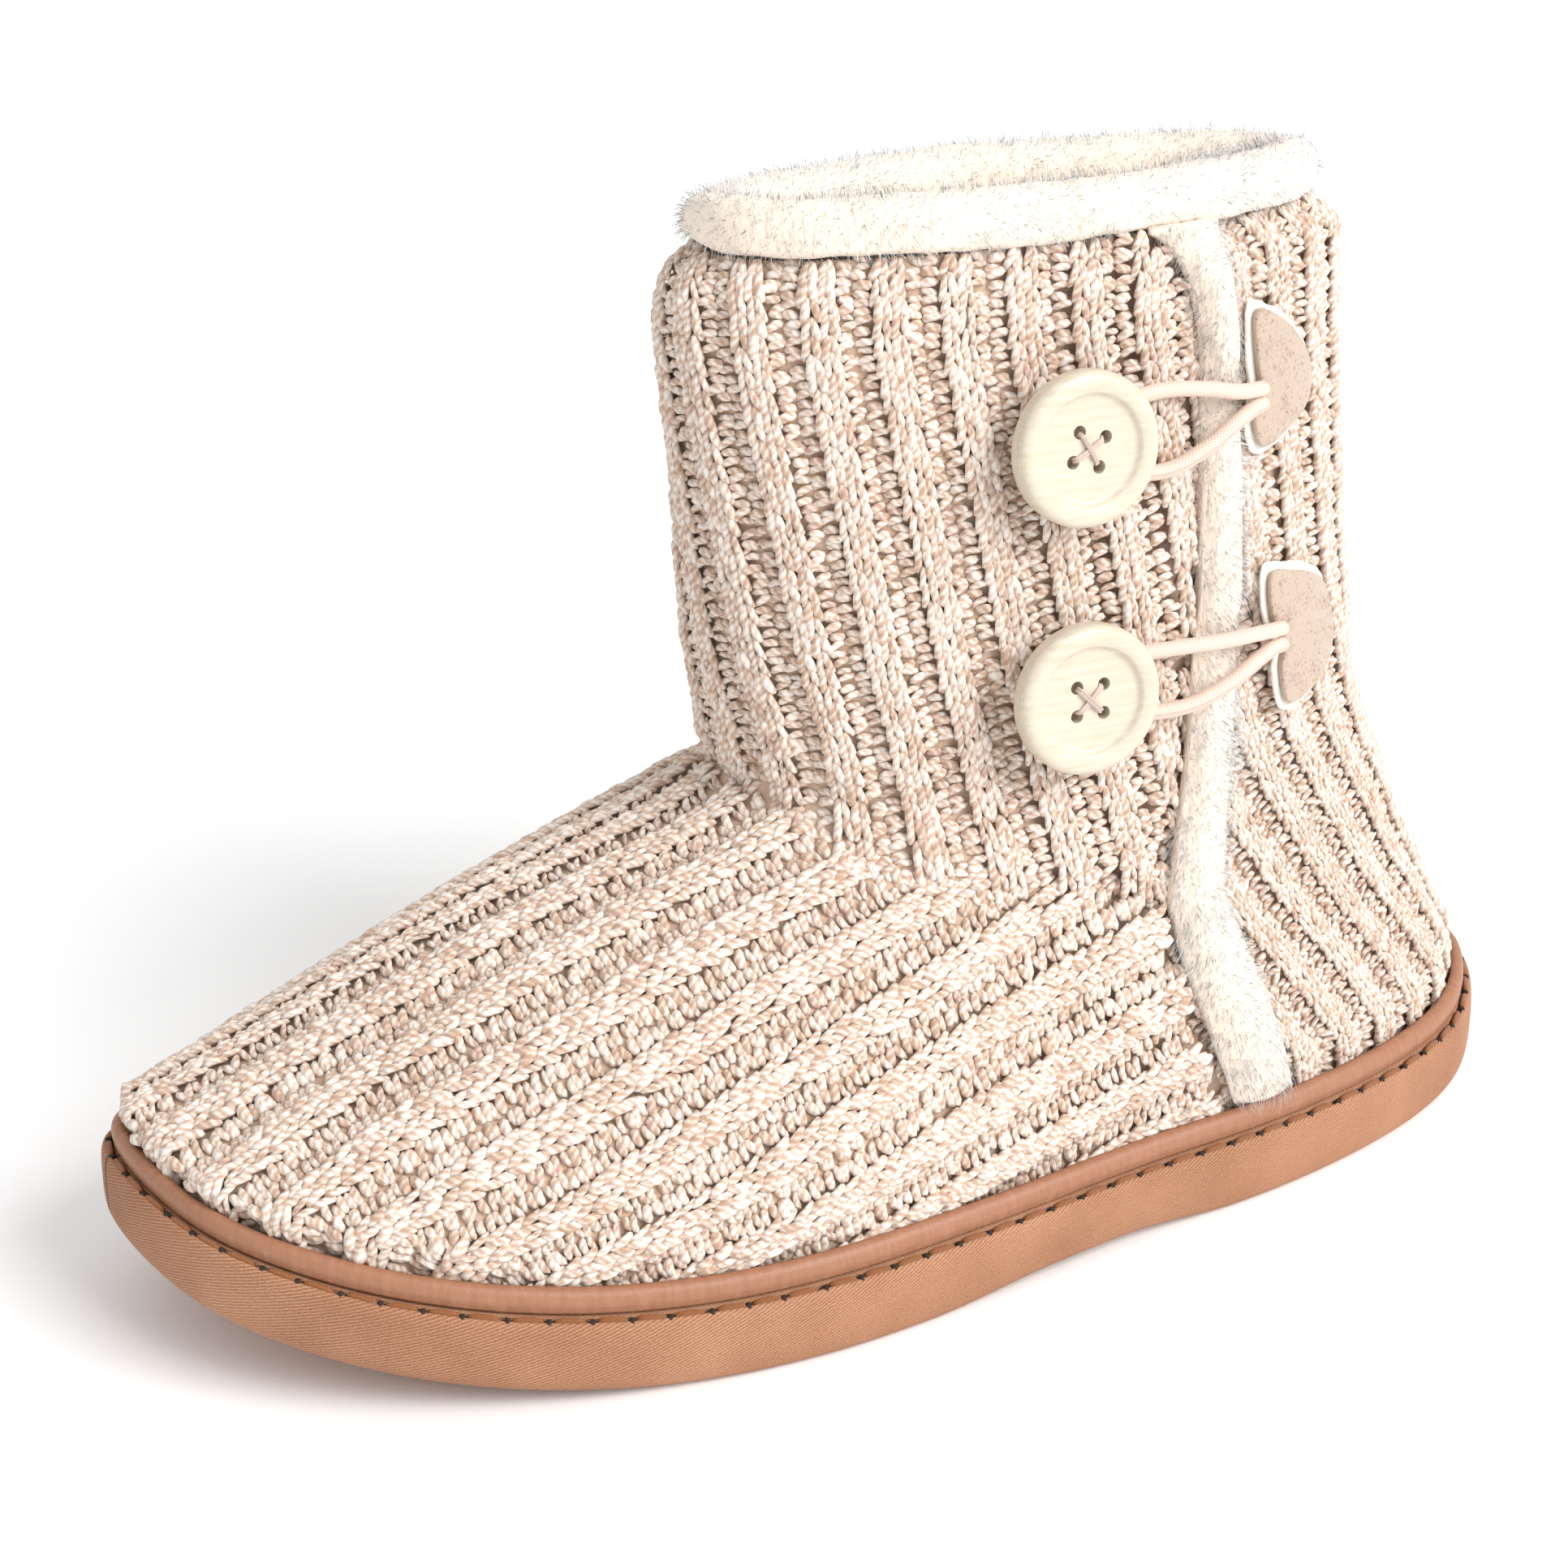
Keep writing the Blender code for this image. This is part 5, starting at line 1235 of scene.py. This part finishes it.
def braid_material():
    """Braided elastic: two sets of slanting yarns, from the tube's own uv."""
    made, tree, shader = new_material("braided_pink_beige_elastic", 0.62, Sheen_Weight=0.3)
    uv = node(tree, "ShaderNodeUVMap", uv_map="Pattern").outputs["UV"]
    waves = []
    for slant in (1, -1):
        turned = node(tree, "ShaderNodeMapping", {"Vector": uv, "Scale": (1.9, 12.0 * slant, 1)})
        waves.append(node(tree, "ShaderNodeTexWave", {"Vector": turned.outputs["Vector"], "Scale": 0.5},
                          bands_direction="DIAGONAL").outputs["Fac"])
    both = node(tree, "ShaderNodeMath", {0: waves[0], 1: waves[1]}, operation="MAXIMUM").outputs[0]
    fuzz = node(tree, "ShaderNodeTexNoise", {"Vector": uv, "Scale": 5.0, "Detail": 3.0}).outputs["Fac"]
    mixed = node(tree, "ShaderNodeMath", {0: fuzz, 1: 0.6, 2: both}, operation="MULTIPLY_ADD").outputs[0]
    node(tree, "ShaderNodeValToRGB", {"Fac": mixed},
         to=shader.inputs["Base Color"], stops=[(0.3, "CFAE9D"), (0.9, "DDC0AF"), (1.0, "E6CEBF")])
    node(tree, "ShaderNodeBump", {"Height": mixed, "Distance": 0.06 * MM, "Strength": 0.7},
         to=shader.inputs["Normal"])
    return made


def suede_material():
    """Napped suede: short mottled nap, with painted shade darkening its open pores."""
    made, tree, shader = new_material("beige_suede", 0.95, Sheen_Weight=0.5)
    at = node(tree, "ShaderNodeTexCoord").outputs["Object"]
    nap = node(tree, "ShaderNodeTexNoise", {"Vector": at, "Scale": 1500.0, "Detail": 5.0, "Roughness": 0.7})
    mottle = node(tree, "ShaderNodeTexNoise", {"Vector": at, "Scale": 260.0, "Detail": 3.0}).outputs["Fac"]
    pores = node(tree, "ShaderNodeTexVoronoi", {"Vector": at, "Scale": 1100.0}).outputs["Distance"]
    # the pores are darkened in the colour: painted shade in the small hollows
    holes = node(tree, "ShaderNodeValToRGB", {"Fac": pores},
                 stops=[(0.10, "000000"), (0.34, "FFFFFF")]).outputs["Color"]
    fine = node(tree, "ShaderNodeMath", {0: mottle, 1: 0.6, 2: nap.outputs["Fac"]}, operation="MULTIPLY_ADD")
    shade = node(tree, "ShaderNodeMath", {0: holes, 1: 0.22, 2: fine.outputs[0]}, operation="MULTIPLY_ADD")
    node(tree, "ShaderNodeValToRGB", {"Fac": shade.outputs[0]},
         to=shader.inputs["Base Color"], stops=[(0.60, "755D4A"), (0.84, "A58D78"), (1.0, "BCA796")])
    node(tree, "ShaderNodeBump", {"Height": shade.outputs[0], "Distance": 0.25 * MM, "Strength": 0.7},
         to=shader.inputs["Normal"])
    return made


ELASTIC_BRAID, SUEDE = braid_material(), suede_material()
WHITE_FLEECE = cloth_material("white_edge_fleece", "F3ECDF", "FFFDF8", 0.7 * MM, 0.4 * MM)
# the darker colour is painted shade in the grooves between the plies
SEWING_THREAD = thread_material("pink_beige_sewing_thread", "DBB9AA", "F1DDD2", pitch=2.2)

# %% Where the fastenings are, the same as the solids'
# height, turn of the holes, tab's place along, tab's height, loop's anchor on the tab
FASTENINGS = {
    "upper": (0.801, math.radians(30), 0.468, 0.832, -0.10),
    "lower": (0.537, math.radians(45), 0.502, 0.540, 0.04),
}
BUTTON_ALONG, BUTTON_RIM, BUTTON_RECESS, BUTTON_ROUND = 0.152, 0.0036, 0.0011, 0.0011
HOLE_WIDTH, HOLE_SPACING = 0.0022, 0.0048
# along from the tab to the button and up, in shares of the way and of the button's width
LOOPS = {
    "upper": [
        (0, 0.062), (0.12, 0.095), (0.28, 0.160), (0.50, 0.215), (0.72, 0.205), (0.90, 0.165), (1, 0.148),
        (1, -0.148), (0.90, -0.170), (0.72, -0.260), (0.50, -0.300), (0.30, -0.215), (0.14, -0.110),
        (0, -0.058),
    ],
    "lower": [
        (0, 0.064), (0.14, 0.095), (0.30, 0.120), (0.50, 0.150), (0.72, 0.165), (0.90, 0.155), (1, 0.148),
        (1, -0.148), (0.90, -0.165), (0.72, -0.230), (0.50, -0.250), (0.30, -0.180), (0.14, -0.110),
        (0, -0.064),
    ],
}
# outline of the tabs round their middle, in shares of their height
TABS = {
    "upper": [
        (-0.24, 0.49), (-0.03, 0.44), (0.15, 0.32), (0.30, 0.14), (0.36, -0.06), (0.31, -0.26),
        (0.14, -0.40), (-0.17, -0.50), (-0.28, -0.30), (-0.24, -0.08), (-0.26, 0.16),
    ],
    "lower": [
        (-0.29, 0.51), (-0.05, 0.49), (0.17, 0.42), (0.32, 0.30), (0.41, 0.06), (0.42, -0.18),
        (0.26, -0.41), (-0.10, -0.52), (-0.21, -0.24), (-0.19, -0.04), (-0.30, 0.20),
    ],
}
TAB_PROUD = 0.6 * MM        # the patches lie on the ribs, which stand a little over the solid's face


def button_frame(height):
    """Matrix on the front panel: z points away from the knit and y up."""
    y, z = HALF * BUTTON_ALONG, level(height)
    origin, normal = side_point(y, z, lap_rise(y, z))
    away = Vector(normal)
    sideways = Vector((0, 0, 1)).cross(away).normalized()
    axes = Matrix((sideways, away.cross(sideways), away)).transposed().to_4x4()
    return Matrix.Translation(Vector(origin)) @ axes


def placed(points, matrix):
    """Points moved by a matrix."""
    m = np.array(matrix)
    return points @ m[:3, :3].T + m[:3, 3]


def lie_height(y, z):
    """Height of what an elastic lies on, off the back panel's face."""
    front, back = strip_edges(z)
    ahead, behind = y - (front - 6 * MM), back + 3 * MM - y
    strip = (STRIP_HEIGHT * press(z) + 1.6 * MM) * smooth(ahead / (6 * MM)) * smooth(behind / (6 * MM))
    return np.maximum(strip, lap_rise(np.minimum(y, lap_edge(z)), z) + GAP + 0.3 * MM)


# %% Buttons
INSIDE, RADIUS = BUTTON_WIDTH / 2 - BUTTON_RIM, BUTTON_WIDTH / 2
FACE_HEIGHT = BUTTON_THICK - BUTTON_RECESS
BUTTON_PROFILE = [(0, 0), (RADIUS - BUTTON_ROUND, 0)]
for a in np.linspace(0, math.pi / 2, 7)[1:]:
    BUTTON_PROFILE.append((RADIUS - BUTTON_ROUND * (1 - math.sin(a)), BUTTON_ROUND * (1 - math.cos(a))))
for a in np.linspace(0, math.pi / 2, 7):
    BUTTON_PROFILE.append((RADIUS - 1.6 * BUTTON_ROUND * (1 - math.cos(a)),
                           BUTTON_THICK - 1.3 * BUTTON_ROUND * (1 - math.sin(a))))
BUTTON_PROFILE += [
    (INSIDE + 0.5 * MM, BUTTON_THICK - 0.10 * MM), (INSIDE + 0.15 * MM, BUTTON_THICK - 0.35 * MM),
    (INSIDE - 0.10 * MM, FACE_HEIGHT + 0.35 * MM), (INSIDE - 0.45 * MM, FACE_HEIGHT + 0.08 * MM),
    (INSIDE - 1.0 * MM, FACE_HEIGHT), (INSIDE * 0.5, FACE_HEIGHT), (0, FACE_HEIGHT),
]
THREAD_RADIUS, SHANK_WINDINGS = 0.28 * MM, 9


def drilled(name, points, faces, holes, material):
    """The lathe's disc with holes cut right through it by an exact boolean, its result applied."""
    disc = new_piece(name + "_blank", points, faces, material)
    low, high = -3 * MM, 9 * MM
    pin, pin_faces = lathe([(0, low), (HOLE_WIDTH / 2, low), (HOLE_WIDTH / 2, high), (0, high)], 24)
    drill_points, drill_faces = joined([(pin + spot, pin_faces) for spot in holes])
    mesh = bpy.data.meshes.new("drill")
    mesh.from_pydata(drill_points.tolist(), [], drill_faces.tolist())
    drill = bpy.data.objects.new("drill", mesh)
    bpy.context.scene.collection.objects.link(drill)
    cut = disc.modifiers.new("holes", "BOOLEAN")
    cut.operation, cut.solver, cut.object = "DIFFERENCE", "EXACT", drill
    shape = disc.evaluated_get(bpy.context.evaluated_depsgraph_get()).to_mesh()
    cut_points = np.empty(len(shape.vertices) * 3, np.float32)
    shape.vertices.foreach_get("co", cut_points)
    shape.calc_loop_triangles()
    tris = np.empty(len(shape.loop_triangles) * 3, np.int32)
    shape.loop_triangles.foreach_get("vertices", tris)
    bpy.data.objects.remove(disc)
    bpy.data.objects.remove(drill)
    return cut_points.reshape(-1, 3), tris.reshape(-1, 3)


for name, (height, turn, tab_along, tab_height, anchor) in FASTENINGS.items():
    knit_frame = button_frame(height)
    place = knit_frame @ Matrix.Translation((0, 0, SHANK_HEIGHT))
    reach = HOLE_SPACING / math.sqrt(2)
    angles = [turn + k * math.pi / 2 for k in range(4)]
    spots = [np.array((reach * math.cos(a), reach * math.sin(a), 0)) for a in angles]
    wood = wood_material(place)
    points, faces = lathe(BUTTON_PROFILE)
    points, faces = drilled("disc_" + name, points, faces, spots, wood)
    button = new_piece(
        "wood_button_" + name, placed(points, place), faces, wood, ("button_" + name,), smooth=False)
    button.data.shade_smooth()
    button.data.set_sharp_from_angle(angle=math.radians(45))

    # thread: two bundles crossing on the face, and windings of the shank
    strands = []
    for k in (0, 1):
        a, b = spots[k], spots[k + 2]
        side = unit(np.cross(b - a, (0, 0, 1)))
        for shift in (-0.24, 0.24):
            s = np.linspace(0.07, 0.93, 22)[:, None]
            line = a * (1 - s) + b * s + side * (shift * MM) + 0.08 * MM * rng.normal(size=3)
            bow = (0.28 + 0.26 * k) * MM * np.sin(math.pi * s[:, 0]) ** 0.6
            line[:, 2] = FACE_HEIGHT + bow - 6 * MM * np.abs(2 * s[:, 0] - 1) ** 14
            strands.append(tube(placed(line, place), THREAD_RADIUS, 8))
    turns_round = np.linspace(0, SHANK_WINDINGS * 2 * math.pi, SHANK_WINDINGS * 18)
    wind = SHANK_WIDTH / 2 - 0.3 * MM
    wound = np.column_stack([
        wind * np.cos(turns_round), wind * np.sin(turns_round),
        np.linspace(0.5 * MM, SHANK_HEIGHT - 0.5 * MM, len(turns_round))])
    core = np.array([(0, 0, 0.2 * MM), (0, 0, SHANK_HEIGHT - 0.2 * MM)])
    strands += [tube(placed(wound, knit_frame), THREAD_RADIUS, 8),
                tube(placed(core, knit_frame), SHANK_WIDTH / 2 - 0.5 * MM, 14)]
    points, faces, uv = joined(strands)
    new_piece("sewing_thread_" + name, points, faces, SEWING_THREAD, ("thread_" + name,), uv=uv)

    # elastic loop
    tab_spot = np.array((HALF * tab_along, level(tab_height)))
    end = np.array((HALF * BUTTON_ALONG, level(height)))
    start = tab_spot + (-0.30 * TAB_HEIGHT - 2 * GAP, anchor * TAB_HEIGHT)
    bend = (SHANK_WIDTH + ELASTIC_WIDTH) / 2 + GAP
    route = [start + (end - start) * along + (0, up * BUTTON_WIDTH) for along, up in LOOPS[name]]
    route[7:7] = [end + (-bend * math.cos(a), bend * math.sin(a)) for a in np.radians((60, 30, 0, -30, -60))]
    # both ends go on under the tab, between it and its backing
    route = [route[0] + (2.5 * MM, -0.2 * MM)] + route + [route[-1] + (2.5 * MM, 0.2 * MM)]
    y, z = fine_profile(route, 150).T
    lie = np.convolve(np.pad(lie_height(y, z), 8, mode="edge"), np.ones(17) / 17, "valid")
    line, _ = side_point(y, z, lie + ELASTIC_WIDTH / 2 + 0.2 * MM)
    points, faces, uv = tube(line, ELASTIC_WIDTH / 2, 16)
    new_piece(
        "elastic_loop_" + name, points, faces, ELASTIC_BRAID, ("elastic_" + name,), uv=uv)


# %% Tabs and their backings
def patch(name, shape, middle, margin, low, thick, round_edge, material, replaced, wave=0.0):
    """A cut shape laid on the side: its rim a closed curve, its edge rounded, its top a little full."""
    corners = np.array(TABS[shape]) * TAB_HEIGHT
    around = np.concatenate([corners[-2:], corners, corners[:3]])
    knots = np.arange(-2, len(corners) + 3)
    count = 120
    at = np.arange(count) * len(corners) / count
    rim = np.stack([through(knots, around[:, k], at) for k in range(2)], -1)
    rim = rim * (1 - margin / np.linalg.norm(rim, axis=1, keepdims=True))
    angle = np.arange(count)[:, None] * 2 * math.pi / count
    rim = rim * (1 + wave * np.sin(9 * angle + 1) + wave * 0.7 * np.sin(23 * angle))
    layers = [(0.02, low), (0.5, low)]
    layers += [(1 - round_edge / 9e-3 * (1 - math.cos(a)), low + thick * (0.5 + 0.5 * math.sin(a)))
               for a in np.linspace(-math.pi / 2, math.pi / 2, 7)]
    layers += [(share, low + thick * full)
               for share, full in ((0.85, 1.03), (0.6, 1.06), (0.3, 1.08), (0.02, 1.08))]
    rings = []
    for share, out in layers:
        flat = rim * share + middle
        rings.append(side_point(flat[:, 0], flat[:, 1], np.full(count, out))[0])
    points, faces, uv = ring_solid(rings, np.arange(len(rings)) * 1.0, flip=True)
    new_piece(name, points, faces, material, replaced, uv=uv)


for name, (height, turn, tab_along, tab_height, anchor) in FASTENINGS.items():
    middle = np.array((HALF * tab_along, level(tab_height)))
    patch("fleece_edge_" + name, name, middle, 0.0, GAP * 1.5 + TAB_PROUD, BACKING_THICK, 0.5 * MM,
          WHITE_FLEECE, ("tab_backing_" + name,), wave=0.008)
    patch("suede_tab_" + name, name, middle, BACKING_MARGIN, GAP * 2.5 + BACKING_THICK + TAB_PROUD,
          TAB_THICK, 0.4 * MM, SUEDE, ("tab_" + name,))

# %% [markdown]
# ## Floor, light and the end
# The shoe stands on white paper in a bright studio. One large soft lamp shines from behind the heel, on
# the shoe's outer side. Most of the light comes from all round, so the shadows stay soft.

# %% Floor and light
PAPER_SIZE, WORLD_STRENGTH = 6, 0.77
LAMP_PLACE, LAMP_SIZE, LAMP_POWER = (3.0, 1.6, 2.6), 2.6, 180      # metres, metres and watts
paper, _, paper_shader = new_material("white_paper", 0.9)
paper_shader.inputs["Base Color"].default_value = linear("FFFFFF")
bpy.ops.mesh.primitive_plane_add(size=PAPER_SIZE)
floor = bpy.context.object
floor.name = "floor"
floor.data.materials.append(paper)
world = bpy.data.worlds.new("studio")
world.use_nodes = True
background = world.node_tree.nodes["Background"]
background.inputs["Color"].default_value = (1, 1, 1, 1)
background.inputs["Strength"].default_value = WORLD_STRENGTH
bpy.context.scene.world = world
bpy.context.scene.view_settings.view_transform = "Standard"
lamp_data = bpy.data.lights.new("key", "AREA")
lamp_data.size, lamp_data.energy = LAMP_SIZE, LAMP_POWER
lamp = bpy.data.objects.new("key", lamp_data)
bpy.context.scene.collection.objects.link(lamp)
aim(lamp, LAMP_PLACE, (0, 0, 0.08))
